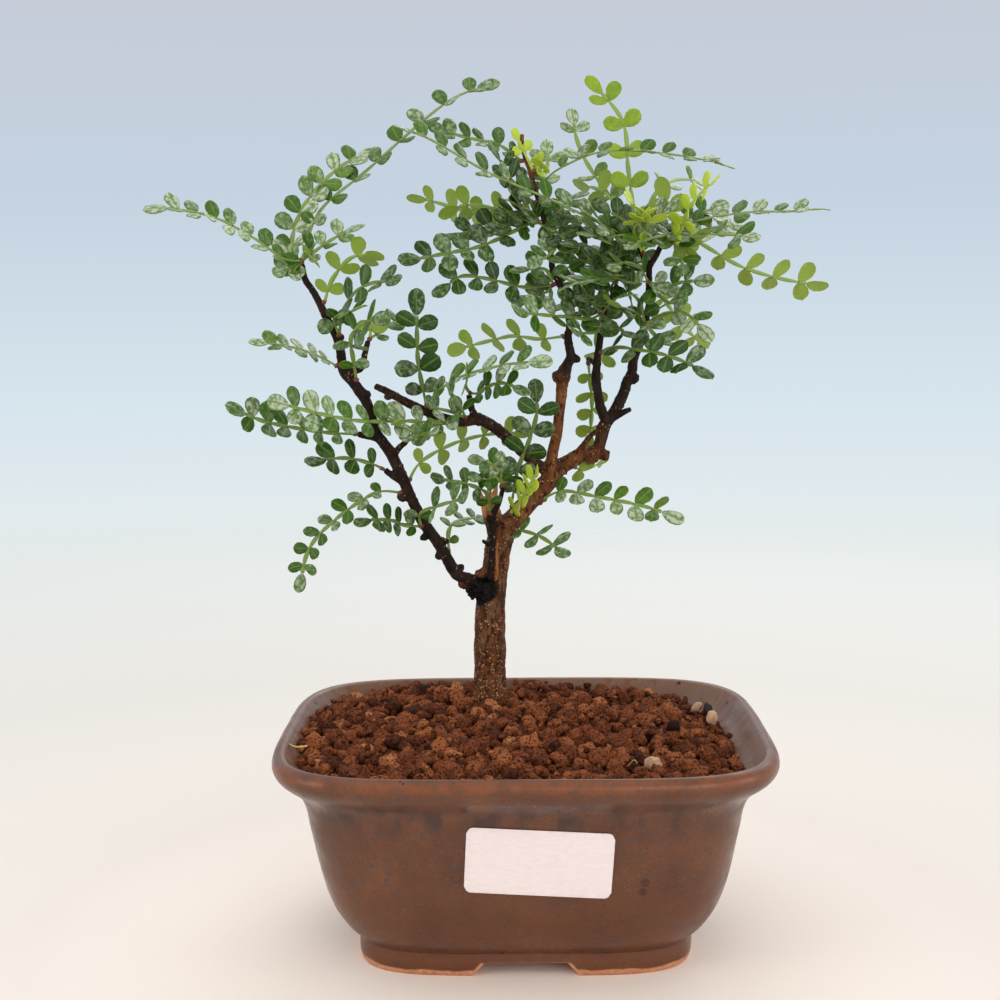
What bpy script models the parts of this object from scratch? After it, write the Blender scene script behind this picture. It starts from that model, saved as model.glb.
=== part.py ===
"""A chinese pepper bonsai in its pot, at real size.

A glazed pot, a drain net, grainy soil, the grown wood in one piece, sprays of compound leaves and a blank
paper label. Metres, +Z up, standing on Z = 0, front towards -Y.
"""

import math
import random

import bmesh
import bpy
from mathutils import Matrix, Vector

MM = 0.001
UP = Vector((0, 0, 1))
TO_VIEWER = Vector((0, -1, 0))

# Driving sizes, in millimetres. Half widths are those of the rounded rectangle along X.
DEPTH_LESS = 11.0  # how much less the pot's half depth is than its half width
SQUARENESS = 4.55  # exponent of the rounded rectangle: 2 is an ellipse, more is squarer
AROUND = 32  # points round the pot
FOOT_TOP = 4.4
FOOT_INNER = 39.5
FRONT_RECESS = 31.6
SIDE_RECESS = 20.0
RECESS_HEIGHT = 3.9
RECESS_SLANT = 4.4
DRAIN_RADIUS = 7.0
FLOOR = 9.5
GAP = 0.3  # between solids that touch
WALL_GAP = 0.35  # between the soil and the pot's wall
NET_SIDE = 26.0
NET_THICK = 0.9
SOIL_LEVEL = 58.0
SOIL_MOUND = 3.6
MOUND_SPREAD = 27.0
SOIL_WIDE = 141.0
SOIL_DEEP = 118.0
GRAIN = 7.4
GRAIN_HEIGHT = 3.2
TRUNK_HOLE = 10.0  # depth
HOLE_ROOM = 0.9  # between the trunk and its hole
LABEL = (39.0, 19.0, 0.35)  # width, height, thickness
LABEL_CORNER = 1.6
LABEL_CENTRE = (3.6, 36.5)  # X and Z on the pot's front
LABEL_LEAN = -3.2  # degrees
BLADE = 0.7  # thickness of a leaf
RACHIS = 1.0  # width of a leaf's stalk
BUD = 1.2
SEED = 7

# How a leaf is laid out. Shares of a leaflet's length, unless another measure is given.
LEAFLET_WIDTH = 0.68
LEAFLET_BASE = 1.1  # mm of the stalk that a leaflet grows from
END_BACK = 1.05  # the last leaflet grows this far before the stalk's drawn end
END_LEAFLET = 1.1
FIRST_PAIR = 0.85
PAIR_BACK = 0.42  # the last pair stands this far before the last leaflet
BARE_SHARE = 0.22  # share of the stalk without leaflets
BARE_LEAST = 3.0  # mm
ONLY_PAIR = 0.72  # share of the stalk before a pair that is alone
LEAN_AHEAD = 0.42  # how far leaflets lean towards the leaf's end, for one step outwards
LEAN_UP = 0.3  # and towards its upper face

# The pot's profile as (half width, height), up the outside and down the inside.
OUTSIDE = [
    (47.3, 0.0), (47.5, FOOT_TOP), (47.2, 6.4), (51.6, 11.5), (55.2, 18.5), (57.6, 27.0), (60.2, 40.0),
    (61.2, 45.5), (63.4, 50.6), (68.4, 55.2), (70.0, 58.0), (69.7, 60.3), (68.3, 61.5), (66.9, 61.3),
]
INSIDE = [(65.8, 59.8), (63.0, 56.2), (57.6, 52.0), (55.2, 45.0), (50.6, 22.0), (41.5, FLOOR)]

# The plant is placed by the photograph, 1000 by 1000 pixels: a pixel and a distance behind the middle of the
# pot give a point. The camera stands before the middle of the pot; sizes in millimetres and radians.
PICTURE_MIDDLE = 500.0
FOCAL = 1563.0
CAMERA_X = -1.28
CAMERA_DISTANCE = 445.6
CAMERA_HEIGHT = 179.5
CAMERA_YAW = 0.0119
CAMERA_PITCH = 0.1173
CAMERA_ROLL = -0.0073

# The middle of the pot, placed so that the whole object's box stands centred on the origin.
POT_MIDDLE = Vector((3.8, -5.7, 0.0))

# Every piece of wood: pixel across, pixel down, distance behind the pot's middle, radius.
WOOD = {
    "trunk": [
        (490, 716, 28, 5.4), (490, 697, 28, 5.2), (490, 665, 28, 4.9), (490, 633, 28, 4.7),
        (490.5, 607, 28, 4.6), (495, 572, 28, 3.9), (498, 548, 27.5, 4.0), (503, 532, 27, 3.9),
        (509, 523, 27, 3.4),
    ],
    "limb": [
        (504, 530, 27, 3.4), (523, 508, 28, 3.0), (536, 495, 29, 2.9), (551, 478, 30, 2.7),
        (559, 468, 31, 2.6), (571, 461, 31.5, 2.4), (584, 453.5, 32, 2.2), (597, 452.5, 32, 2.1),
    ],
    "limb_end": [(594, 452.5, 32, 2.0), (609, 456, 31, 1.6)],
    "limb_fork": [
        (596, 454, 32, 2.0), (599, 446, 32, 1.9), (601, 439, 32, 1.9), (604, 427, 31.5, 1.9),
        (608, 419, 31, 1.9),
    ],
    "limb_left": [
        (607, 421, 31, 1.8), (601, 409, 29.5, 1.5), (598, 394, 28.5, 1.4), (596, 379, 27.5, 1.4),
        (597, 363, 27, 1.2), (598, 353, 26.5, 1.1), (605, 310, 28, 1.0), (611, 299, 30, 0.9),
        (617, 285, 32, 0.8),
    ],
    "limb_right": [
        (608, 420, 31, 1.8), (613, 414, 31.5, 1.8), (619, 403, 32.5, 1.7), (624, 392, 33, 1.6),
        (627, 382, 33.5, 1.6), (632, 371, 34, 1.5), (634, 357, 34.5, 1.5), (641, 340, 34.5, 1.3),
        (645, 321, 34, 1.2), (649, 306, 33.5, 1.1), (649, 292, 33, 1.1), (649, 275, 32, 1.0),
        (649, 265, 31, 1.0),
    ],
    "tip_right": [
        (649, 267, 31.2, 1.0), (656, 256, 30, 0.9), (661, 246, 29, 0.85), (668, 236, 28, 0.8),
        (672, 231, 27.5, 0.7),
    ],
    "tip_left": [(649, 267, 31.2, 1.0), (645, 261, 31.5, 0.9), (641, 251, 32, 0.8), (639, 243, 32, 0.7)],
    "middle": [
        (549, 474, 30, 1.8), (550, 467, 29.5, 1.8), (553, 451, 29, 1.7), (557, 433, 28, 1.6),
        (559, 415, 27, 1.6), (561, 399, 26, 1.6), (562, 385, 25, 1.8), (563, 376, 24.5, 2.4),
        (567, 365, 24, 1.6), (571, 357, 23.5, 1.4), (569, 346, 23.5, 1.3), (568, 334, 23.5, 1.2),
        (570, 326, 23.5, 1.1), (564, 295, 24, 1.0), (553, 270, 25, 0.95), (551, 253, 25.5, 0.9),
        (546, 239, 26, 0.9), (543, 215, 26.5, 0.85), (538, 199, 27, 0.8), (534, 185, 27.5, 0.8),
        (530, 171, 28, 0.75), (525, 157, 28.5, 0.7), (522, 145, 29, 0.7), (522, 134, 29, 0.7),
    ],
    "left": [
        (488, 588, 26.5, 1.8), (472, 580, 24, 1.8), (459, 576, 22.5, 1.8), (453, 569, 22, 1.8),
        (444, 553, 20.5, 1.7), (434, 537, 19, 1.7), (423, 522, 17.5, 1.7), (414, 504, 16, 1.6),
        (406, 486, 15, 1.7), (398, 468, 14, 1.7), (390, 452, 13, 1.7), (379, 437, 12, 1.6),
        (374, 428, 11.5, 1.6), (368, 406, 10, 1.6), (361, 393, 9, 1.6), (353, 382, 8, 1.6),
        (344, 371, 7, 1.5), (340.5, 352, 6, 1.3), (336, 336, 5, 1.2), (327, 319, 4, 1.2),
        (321, 306, 3.5, 1.1), (313, 291, 3, 1.0), (305, 279, 2.5, 0.95), (302, 264, 2, 0.85),
    ],
    "left_twig": [(346, 373, 7, 1.2), (361, 368, 9, 1.0), (365, 353, 11, 0.9), (368, 341, 12, 0.8)],
    "level": [
        (545, 470, 30, 1.8), (527, 456, 27, 1.7), (509, 439, 24, 1.7), (494, 427, 22, 1.7),
        (479, 419.5, 20.5, 1.8), (464, 421.5, 19.5, 1.6), (449, 420, 18.5, 1.6), (434, 415, 18, 1.5),
        (418, 408, 18, 1.4), (404, 401, 18, 1.3), (388, 392, 18.5, 1.1), (375, 386, 19, 1.0),
    ],
    "level_stub": [(477, 420, 20.5, 1.2), (471, 407, 19, 1.0), (469, 395, 18, 0.9)],
    "left_stub_high": [(378, 438, 12, 1.2), (367, 436, 10, 1.0), (358, 434, 8.5, 0.9)],
    "left_stub_middle": [(403, 482, 15, 1.2), (393, 476, 13.5, 1.0), (385, 470, 12.5, 0.9)],
    "left_stub_inner": [(392, 456, 13, 1.2), (400, 447, 11, 0.9), (407, 441, 9.5, 0.8)],
    "fork_stub": [(612, 418, 31.5, 1.3), (622, 413, 30, 1.0), (631, 409, 29, 0.7)],
    "limb_stub": [(577, 455, 31.5, 1.2), (588, 439, 30, 0.9), (597, 430, 29.5, 0.6)],
    "dead_shoot": [
        (489, 580, 24, 0.9), (490, 549, 23, 0.9), (492, 530, 22.5, 0.9), (493, 515, 22, 0.9),
        (499, 503, 21.5, 0.8), (503, 488, 21, 0.7),
    ],
    "dead_side": [(491, 546, 23, 0.7), (483, 541, 20, 0.6)],
    "hanging_twig": [(597, 366, 27, 0.9), (592, 361, 30, 0.8), (588, 359, 33, 0.8)],
    "dead_stub": [(498, 534, 27, 3.0), (492, 516, 27, 2.9), (489, 500, 27, 2.5)],
    "splinter_left": [(485, 504, 27, 1.3), (480, 493, 27, 0.2)],
    "splinter_middle": [(489, 504, 27.5, 1.3), (489, 487, 27.5, 0.2)],
    "splinter_right": [(493, 504, 26.5, 1.3), (496, 487, 26.5, 0.2)],
}
ROUND_WOOD = {"trunk": 2, "limb": 2}  # bevel resolution for 8 sides; branches have 6 sides and stubs 4
STUBS = ("stub", "splinter", "dead", "twig", "end")
KNOB = (483, 586, 25.5, 4.4)

# Every spray: the wood that it grows on, the pixel of its bud, and its leaves. A leaf has the pixels of its
# stalk out to the tip, how far the tip lies behind its bud, how far its face is turned from the sky (0) to
# the viewer (90), its pairs of leaflets and their length.
SPRAYS = {
    "spray_left_tip": ("left", (302, 262), [
        ([(283, 258), (251, 236), (208, 215), (145, 205)], -16, 32, 4, 7.0),
        ([(291, 248), (303, 207), (337, 169), (377, 147)], 18, 48, 4, 6.5),
        ([(320, 211), (367, 170), (447, 102), (498, 83)], 26, 24, 4, 7.0),
        ([(322, 246), (343, 233), (363, 224)], 6, 60, 2, 5.5),
        ([(290, 269), (276, 272)], -8, 70, 1, 5.0),
    ]),
    "spray_left_high": ("left", (324, 302), [
        ([(331, 282), (343, 265), (356, 256), (383, 255)], -14, 45, 3, 6.0),
    ]),
    "spray_left_upper": ("left", (339, 334), [
        ([(343, 311), (356, 291), (376, 282), (401, 281)], -28, 55, 3, 6.5),
    ]),
    "spray_left_outer": ("left", (341, 364), [
        ([(325, 359), (309, 352), (292, 347), (251, 340)], -14, 32, 3, 6.0),
    ]),
    "spray_left_front": ("left", (352, 381), [
        ([(353, 358), (351, 338), (362, 323), (385, 318)], -30, 75, 3, 6.5),
    ]),
    "spray_left_twig": ("left_twig", (368, 341), [
        ([(382, 331), (395, 322), (412, 316)], 16, 60, 2, 5.5),
    ]),
    "spray_left_long": ("left_stub_high", (358, 434), [
        ([(333, 433), (309, 430), (263, 421), (228, 405)], -26, 60, 4, 6.5),
    ]),
    "spray_left_knee": ("left_stub_middle", (385, 470), [
        ([(372, 464), (345, 458), (306, 462)], -16, 50, 2, 6.5),
    ]),
    "spray_left_arch": ("left", (405, 490), [
        ([(375, 493), (336, 519), (309, 549), (299, 591)], -12, 45, 4, 6.0),
    ]),
    "spray_left_low": ("left", (422, 523), [
        ([(404, 525), (389, 520), (357, 520)], -16, 60, 3, 5.5),
        ([(420, 514), (434, 507), (472, 496)], -22, 60, 2, 6.0),
    ]),
    "spray_left_behind": ("left", (405, 483), [
        ([(422, 461), (455, 443), (491, 434), (528, 432)], 32, 60, 3, 6.0),
    ]),
    "spray_left_inner": ("left_stub_inner", (407, 441), [
        ([(420, 435), (440, 430)], -10, 65, 2, 5.0),
    ]),
    "spray_left_deep": ("left", (445, 556), [
        ([(449, 530), (460, 520), (485, 517)], 20, 60, 3, 5.0),
    ]),
    "spray_level_front": ("level", (424, 411), [
        ([(422, 385), (418, 360), (417, 336), (416, 291)], -12, 88, 4, 7.0),
        ([(438, 391), (462, 376), (503, 365), (550, 360)], -16, 32, 4, 6.5),
    ]),
    "spray_level_long": ("level", (447, 420), [
        ([(410, 421), (361, 421), (313, 412), (270, 400)], -40, 60, 5, 7.0),
    ]),
    "spray_level_up": ("level_stub", (469, 394), [
        ([(479, 393), (487, 387), (503, 383), (528, 392)], -14, 60, 3, 5.5),
    ]),
    "spray_level_near": ("level", (464, 421), [
        ([(462, 409), (455, 397), (446, 386)], -26, 70, 2, 6.0),
    ]),
    "spray_shoot_low": ("dead_shoot", (493, 514), [
        ([(487, 494), (470, 485), (446, 480), (431, 478)], -18, 65, 3, 5.5),
    ]),
    "spray_shoot_high": ("dead_shoot", (503, 488), [
        ([(499, 472), (488, 462), (470, 460)], -6, 75, 2, 5.5),
    ]),
    "spray_limb_face": ("limb", (519, 513), [
        ([(514, 490), (519, 466), (530, 438), (537, 410), (533, 381)], -14, 88, 4, 7.0),
    ]),
    "spray_limb_low": ("limb", (509, 525), [
        ([(520, 530), (531, 533), (543, 538), (567, 555)], -28, 50, 3, 6.0),
    ]),
    "spray_limb_side": ("limb", (536, 495), [
        ([(563, 491), (599, 497), (643, 506), (682, 519)], -22, 50, 4, 7.0),
    ]),
    "spray_limb_back": ("limb", (572, 461), [
        ([(585, 470), (603, 461)], 20, 60, 1, 6.0),
    ]),
    "spray_middle_deep": ("middle", (568, 336), [
        ([(539, 339), (515, 336), (497, 339), (450, 351)], 24, 60, 3, 6.5),
    ]),
    "spray_hanging": ("hanging_twig", (588, 359), [
        ([(590, 380), (592, 405), (589, 449)], 14, 85, 3, 6.0),
    ]),
    "spray_middle_arm": ("middle", (558, 283), [
        ([(523, 287), (489, 279), (459, 277), (436, 299)], -14, 55, 3, 6.5),
    ]),
    "spray_middle_crown": ("middle", (544, 222), [
        ([(520, 224), (493, 221), (458, 209), (411, 195)], 26, 60, 3, 6.5),
        ([(515, 215), (472, 205), (440, 214)], 4, 55, 2, 6.5),
        ([(530, 224), (497, 226), (463, 233), (441, 239)], -6, 50, 3, 6.5),
        ([(527, 225), (484, 245), (448, 253), (399, 262)], -18, 55, 4, 7.0),
    ]),
    "spray_middle_high": ("middle", (539, 202), [
        ([(524, 194), (508, 174), (492, 143)], -12, 50, 3, 6.0),
    ]),
    "spray_middle_right": ("middle", (535, 187), [
        ([(560, 168), (604, 151), (664, 153), (734, 165)], -8, 22, 4, 7.0),
        ([(545, 172), (545, 148)], 12, 75, 1, 6.0),
    ]),
    "spray_middle_top": ("middle", (526, 160), [
        ([(498, 144), (479, 140), (458, 135), (429, 125)], -8, 50, 3, 6.0),
    ]),
    "spray_crown_left": ("limb_left", (617, 285), [
        ([(605, 262), (590, 247), (564, 240)], -16, 55, 2, 7.0),
        ([(617, 268), (615, 257), (606, 243)], -6, 60, 1, 6.0),
        ([(600, 268), (577, 259), (556, 260)], 2, 50, 2, 6.5),
    ]),
    "spray_crown_low": ("limb_left", (604, 315), [
        ([(589, 319), (569, 317), (544, 315), (511, 311)], -24, 50, 3, 6.5),
        ([(592, 303), (577, 297), (558, 296)], -10, 60, 2, 6.0),
    ]),
    "spray_crown_side": ("limb_left", (598, 352), [
        ([(613, 347), (640, 350), (672, 357), (711, 374)], -32, 55, 3, 7.0),
    ]),
    "spray_right_low": ("limb_right", (645, 323), [
        ([(659, 317), (671, 313), (687, 314), (711, 339)], -14, 60, 3, 6.0),
        ([(634, 311), (610, 305)], -30, 60, 1, 6.5),
    ]),
    "spray_right_back": ("limb_right", (649, 296), [
        ([(664, 300), (683, 326), (708, 349)], 28, 60, 3, 6.0),
    ]),
    "spray_right_arm": ("limb_right", (649, 281), [
        ([(625, 279), (603, 279), (560, 286)], -32, 27, 3, 7.0),
        ([(668, 286), (683, 282), (712, 280)], -12, 60, 2, 6.0),
    ]),
    "spray_crown_back": ("tip_left", (639, 243), [
        ([(610, 228), (559, 203), (492, 174), (430, 139), (394, 126)], -34, 36, 5, 7.0),
        ([(634, 215), (628, 167), (622, 120), (588, 78)], 14, 60, 4, 6.5),
        ([(618, 208), (590, 168), (577, 140), (572, 110)], 32, 80, 3, 6.0),
        ([(608, 196), (577, 183)], 18, 60, 1, 6.5),
        ([(654, 196), (675, 180), (702, 181)], 38, 70, 2, 6.0),
    ]),
    "spray_right_crown": ("tip_right", (672, 231), [
        ([(699, 220), (747, 212), (791, 211), (828, 207)], -6, 28, 4, 7.0),
        ([(696, 237), (718, 234), (757, 237)], -28, 55, 2, 6.5),
        ([(700, 243), (740, 266), (782, 279), (826, 286)], 20, 45, 4, 6.5),
        ([(668, 205), (660, 180)], 4, 70, 1, 6.5),
    ]),
}
YOUNG_SPRAYS = {
    "young_limb": ("limb", (514, 518), [
        ([(513, 509), (523, 497), (540, 467)], -20, 55, 3, 5.5),
    ]),
    "young_top": ("middle", (531, 173), [
        ([(541, 168), (541, 155)], -6, 60, 1, 5.0),
    ]),
    "young_crown": ("tip_left", (642, 254), [
        ([(634, 232), (639, 215), (628, 193)], -26, 55, 2, 5.5),
        ([(646, 234), (650, 205)], -26, 60, 1, 6.0),
    ]),
    "young_right": ("tip_right", (664, 241), [
        ([(680, 232), (690, 206), (718, 175)], -26, 55, 3, 5.5),
    ]),
}


def clear_scene():
    """Remove what the file opens with."""
    for thing in list(bpy.data.objects):
        bpy.data.objects.remove(thing, do_unlink=True)


def collection(name):
    """A new collection in the scene."""
    made = bpy.data.collections.new(name)
    bpy.context.scene.collection.children.link(made)
    return made


def material(name, colour, roughness, metallic=0.0):
    """A Principled BSDF material with one colour."""
    made = bpy.data.materials.new(name)
    made.use_nodes = True
    shader = made.node_tree.nodes["Principled BSDF"]
    shader.inputs["Base Color"].default_value = (*colour, 1)
    shader.inputs["Roughness"].default_value = roughness
    shader.inputs["Metallic"].default_value = metallic
    made.diffuse_color = (*colour, 1)
    return made


def photo_point(across, down, behind):
    """The point, in metres, that shows at a pixel and lies this far behind the pot's middle."""
    x = across - PICTURE_MIDDLE
    y = down - PICTURE_MIDDLE
    right = (math.cos(CAMERA_ROLL) * x + math.sin(CAMERA_ROLL) * y) / FOCAL
    rise = (math.sin(CAMERA_ROLL) * x - math.cos(CAMERA_ROLL) * y) / FOCAL
    ahead = math.cos(CAMERA_PITCH) + math.sin(CAMERA_PITCH) * rise
    ray = Vector((
        math.cos(CAMERA_YAW) * right - math.sin(CAMERA_YAW) * ahead,
        math.sin(CAMERA_YAW) * right + math.cos(CAMERA_YAW) * ahead,
        math.cos(CAMERA_PITCH) * rise - math.sin(CAMERA_PITCH),
    ))
    camera = Vector((CAMERA_X, -CAMERA_DISTANCE, CAMERA_HEIGHT))
    return (camera + ray * ((behind + CAMERA_DISTANCE) / ray.y) + POT_MIDDLE) * MM


def mesh_object(name, vertices, faces, look, home):
    """A new object from vertices in metres and faces."""
    mesh = bpy.data.meshes.new(name)
    mesh.from_pydata(vertices, [], faces)
    mesh.validate()
    made = bpy.data.objects.new(name, mesh)
    if look:
        mesh.materials.append(look)
    home.objects.link(made)
    return made


def evaluated_mesh(thing):
    """The object's mesh with its modifiers or curve settings applied."""
    bpy.context.view_layer.update()
    return bpy.data.meshes.new_from_object(thing.evaluated_get(bpy.context.evaluated_depsgraph_get()))


def apply_modifiers(thing):
    """Bake the object's modifiers into its mesh."""
    mesh = evaluated_mesh(thing)
    thing.modifiers.clear()
    thing.data = mesh


def fuse(name, pieces, look):
    """Join objects into one closed body by a Boolean union on a collection."""
    first = pieces[0]
    if len(pieces) > 1:
        others = collection(name + "_pieces")
        for piece in pieces[1:]:
            for old in piece.users_collection:
                old.objects.unlink(piece)
            others.objects.link(piece)
        union = first.modifiers.new("union", "BOOLEAN")
        union.operation = "UNION"
        union.operand_type = "COLLECTION"
        union.collection = others
        union.solver = "MANIFOLD"
        apply_modifiers(first)
        for piece in pieces[1:]:
            bpy.data.objects.remove(piece, do_unlink=True)
        bpy.data.collections.remove(others)
    first.name = name
    first.data.name = name
    first.data.materials.clear()
    first.data.materials.append(look)
    for polygon in first.data.polygons:
        polygon.material_index = 0
    return first


def cut(thing, cutter, operation="DIFFERENCE"):
    """A Boolean modifier on the object, with the cutter hidden."""
    cutter.hide_render = True
    cutter.display_type = "WIRE"
    modifier = thing.modifiers.new(cutter.name, "BOOLEAN")
    modifier.operation = operation
    modifier.object = cutter
    modifier.solver = "EXACT"


def ring(half_width, height):
    """Points of the pot's rounded rectangle at one height, anticlockwise from above."""
    half_depth = half_width - DEPTH_LESS
    power = 2 / SQUARENESS
    points = []
    for step in range(AROUND):
        angle = math.tau * step / AROUND
        cosine = math.cos(angle)
        sine = math.sin(angle)
        x = math.copysign(half_width * abs(cosine) ** power, cosine)
        y = math.copysign(half_depth * abs(sine) ** power, sine)
        points.append((Vector((x, y, height)) + POT_MIDDLE) * MM)
    return points


def loft(name, profile, look, home):
    """A closed solid through the rings of a profile, given from the bottom up."""
    vertices = [point for half_width, height in profile for point in ring(half_width, height)]
    faces = [list(range(AROUND))[::-1]]
    for level in range(len(profile) - 1):
        low = level * AROUND
        for step in range(AROUND):
            after = (step + 1) % AROUND
            faces.append([low + step, low + after, low + AROUND + after, low + AROUND + step])
    top = (len(profile) - 1) * AROUND
    faces.append(list(range(top, top + AROUND)))
    return mesh_object(name, vertices, faces, look, home)


def recess_cutter(name, width, length, turn, home):
    """A block with slanted ends, which cuts the foot ring."""
    bpy.ops.mesh.primitive_cube_add(size=1)
    block = bpy.context.object
    block.name = name
    for vertex in block.data.vertices:
        upper = vertex.co.z > 0
        half = width / 2 - (RECESS_SLANT if upper else 0)
        vertex.co.x = math.copysign(half * MM, vertex.co.x)
        vertex.co.y = math.copysign(length / 2 * MM, vertex.co.y)
        vertex.co.z = (RECESS_HEIGHT if upper else -1) * MM
    block.data.transform(Matrix.Rotation(math.radians(turn), 4, "Z"))
    block.location = POT_MIDDLE * MM
    for old in block.users_collection:
        old.objects.unlink(block)
    home.objects.link(block)
    return block


def upright_cylinder(name, radius, low, high, centre, sides, home):
    """A cylinder between two heights, in millimetres about a centre in metres."""
    bpy.ops.mesh.primitive_cylinder_add(vertices=sides, radius=radius * MM, depth=(high - low) * MM)
    made = bpy.context.object
    made.name = name
    made.location = (centre.x, centre.y, (low + high) / 2 * MM)
    for old in made.users_collection:
        old.objects.unlink(made)
    home.objects.link(made)
    return made


def make_pot(look, home, cutters):
    """The glazed pot: one turned-over wall, a floor with a drain hole and four corner feet."""
    underside = [(FOOT_INNER - 1, FOOT_TOP), (FOOT_INNER, 0.0)]
    pot = loft("pot", underside + OUTSIDE + INSIDE, look, home)
    cut(pot, recess_cutter("front_recess", FRONT_RECESS, 130, 0, cutters))
    cut(pot, recess_cutter("side_recess", SIDE_RECESS, 150, 90, cutters))
    cut(pot, upright_cylinder("drain_hole", DRAIN_RADIUS, 1, 12, POT_MIDDLE * MM, 16, cutters))
    pot.data.shade_smooth()
    pot.data.set_sharp_from_angle(angle=math.radians(50))


def make_drain_net(look, home, cutters):
    """A square of plastic net on the floor, over the drain hole."""
    bpy.ops.mesh.primitive_cube_add(size=1)
    net = bpy.context.object
    net.name = "drain_net"
    net.data.transform(Matrix.Diagonal((NET_SIDE * MM, NET_SIDE * MM, NET_THICK * MM, 1)))
    net.location = (POT_MIDDLE + UP * (FLOOR + GAP + NET_THICK / 2)) * MM
    net.data.materials.append(look)
    for old in net.users_collection:
        old.objects.unlink(net)
    home.objects.link(net)
    for row in (-1, 1):
        for column in (-1, 1):
            place = (POT_MIDDLE + Vector((column, row, 0)) * NET_SIDE / 5) * MM
            cut(net, upright_cylinder(f"net_hole_{row + 1}_{column + 1}", 3.6, 8, 14, place, 6, cutters))


def soil_base(x, y, trunk):
    """Height of the soil at a place from the pot's middle, without its grains: a mound about the trunk."""
    away = (x - trunk.x) ** 2 + (y - trunk.y) ** 2
    return SOIL_LEVEL + SOIL_MOUND * math.exp(-away / (2 * MOUND_SPREAD**2))


def make_soil(look, home, cutters):
    """The filled soil with its grains as relief, and a plain blind hole that the trunk stands in."""
    draw = random.Random(SEED)
    across, down, behind, radius = WOOD["trunk"][1]
    trunk = photo_point(across, down, behind)
    trunk_place = trunk / MM - POT_MIDDLE
    profile = [(half_width - WALL_GAP, height) for half_width, height in reversed(INSIDE[1:-1])]
    bottom = FLOOR + 2 * GAP + NET_THICK
    share = (bottom - FLOOR) / (INSIDE[-2][1] - FLOOR)
    bottom_half = INSIDE[-1][0] + share * (INSIDE[-2][0] - INSIDE[-1][0]) - WALL_GAP
    soil = loft("soil", [(bottom_half, bottom)] + profile + [(profile[-1][0], 66)], look, home)
    across = round(SOIL_WIDE / GRAIN)
    along = round(SOIL_DEEP / GRAIN)
    vertices = []
    wide = across + 1
    for row in range(along + 1):
        for column in range(wide):
            x = (column - across / 2 + draw.uniform(-0.2, 0.2)) * GRAIN
            y = (row - along / 2 + draw.uniform(-0.2, 0.2)) * GRAIN
            low = soil_base(x, y, trunk_place) - GRAIN_HEIGHT * draw.uniform(0.2, 0.5)
            vertices.append((Vector((x, y, low)) + POT_MIDDLE) * MM)
    surface = len(vertices)
    vertices += [Vector((point.x, point.y, 80 * MM)) for point in vertices]
    faces = []
    for row in range(along):
        for column in range(across):
            corner = row * wide + column
            cell = [corner, corner + wide, corner + wide + 1, corner + 1]
            x = (column + 0.5 - across / 2 + draw.uniform(-0.22, 0.22)) * GRAIN
            y = (row + 0.5 - along / 2 + draw.uniform(-0.22, 0.22)) * GRAIN
            high = soil_base(x, y, trunk_place) + GRAIN_HEIGHT * draw.uniform(0.3, 0.7)
            peak = len(vertices)
            vertices.append((Vector((x, y, high)) + POT_MIDDLE) * MM)
            faces += [[start, end, peak] for start, end in zip(cell, cell[1:] + cell[:1])]
            faces.append([surface + index for index in reversed(cell)])
    rim = list(range(across)) + [across + wide * row for row in range(along)]
    rim += [wide * along + across - step for step in range(across)]
    rim += [wide * (along - step) for step in range(along)]
    for corner, after in zip(rim, rim[1:] + rim[:1]):
        faces.append([corner, after, surface + after, surface + corner])
    above = mesh_object("above_the_soil", vertices, faces, None, cutters)
    cut(soil, above)
    depth = trunk.z / MM - TRUNK_HOLE
    cut(soil, upright_cylinder("trunk_hole", radius + HOLE_ROOM, depth, 90, trunk, 16, cutters))


def front_wall(height):
    """How far the pot's front stands before its middle at a height."""
    for (low_half, low), (high_half, high) in zip(OUTSIDE, OUTSIDE[1:]):
        if low <= height <= high:
            return low_half + (height - low) / (high - low) * (high_half - low_half) - DEPTH_LESS
    raise ValueError("no wall at this height")


def make_label(look, home):
    """The blank paper label, which lies along the pot's front wall."""
    width, height, thick = LABEL
    inner = width / 2 - LABEL_CORNER
    right = [inner, inner + 0.7 * LABEL_CORNER, inner + LABEL_CORNER]
    stations = [-x for x in reversed(right)] + right
    lean = math.radians(LABEL_LEAN)
    vertices = []
    for x in stations:
        beyond = max(0.0, abs(x) - inner)
        half = height / 2 - LABEL_CORNER + math.sqrt(max(0.0, LABEL_CORNER**2 - beyond**2))
        for rise in (-half, 0.0, half):
            flat_x = LABEL_CENTRE[0] + x * math.cos(lean) - rise * math.sin(lean)
            flat_z = LABEL_CENTRE[1] + x * math.sin(lean) + rise * math.cos(lean)
            half_depth = front_wall(flat_z)
            half_width = half_depth + DEPTH_LESS
            bow = (1 - abs(flat_x / half_width) ** SQUARENESS) ** (1 / SQUARENESS)
            y = -half_depth * bow - GAP - thick / 2
            vertices.append((Vector((flat_x, y, flat_z)) + POT_MIDDLE) * MM)
    faces = []
    for column in range(len(stations) - 1):
        for row in (0, 1):
            corner = 3 * column + row
            faces.append([corner, corner + 3, corner + 4, corner + 1])
    label = mesh_object("label", vertices, faces, look, home)
    paper = label.modifiers.new("paper", "SOLIDIFY")
    paper.thickness = thick * MM
    paper.offset = 0
    apply_modifiers(label)


def wood_route(name):
    """The points of a piece of wood, in metres, with their radii in millimetres."""
    return [(photo_point(across, down, behind), radius) for across, down, behind, radius in WOOD[name]]


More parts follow.
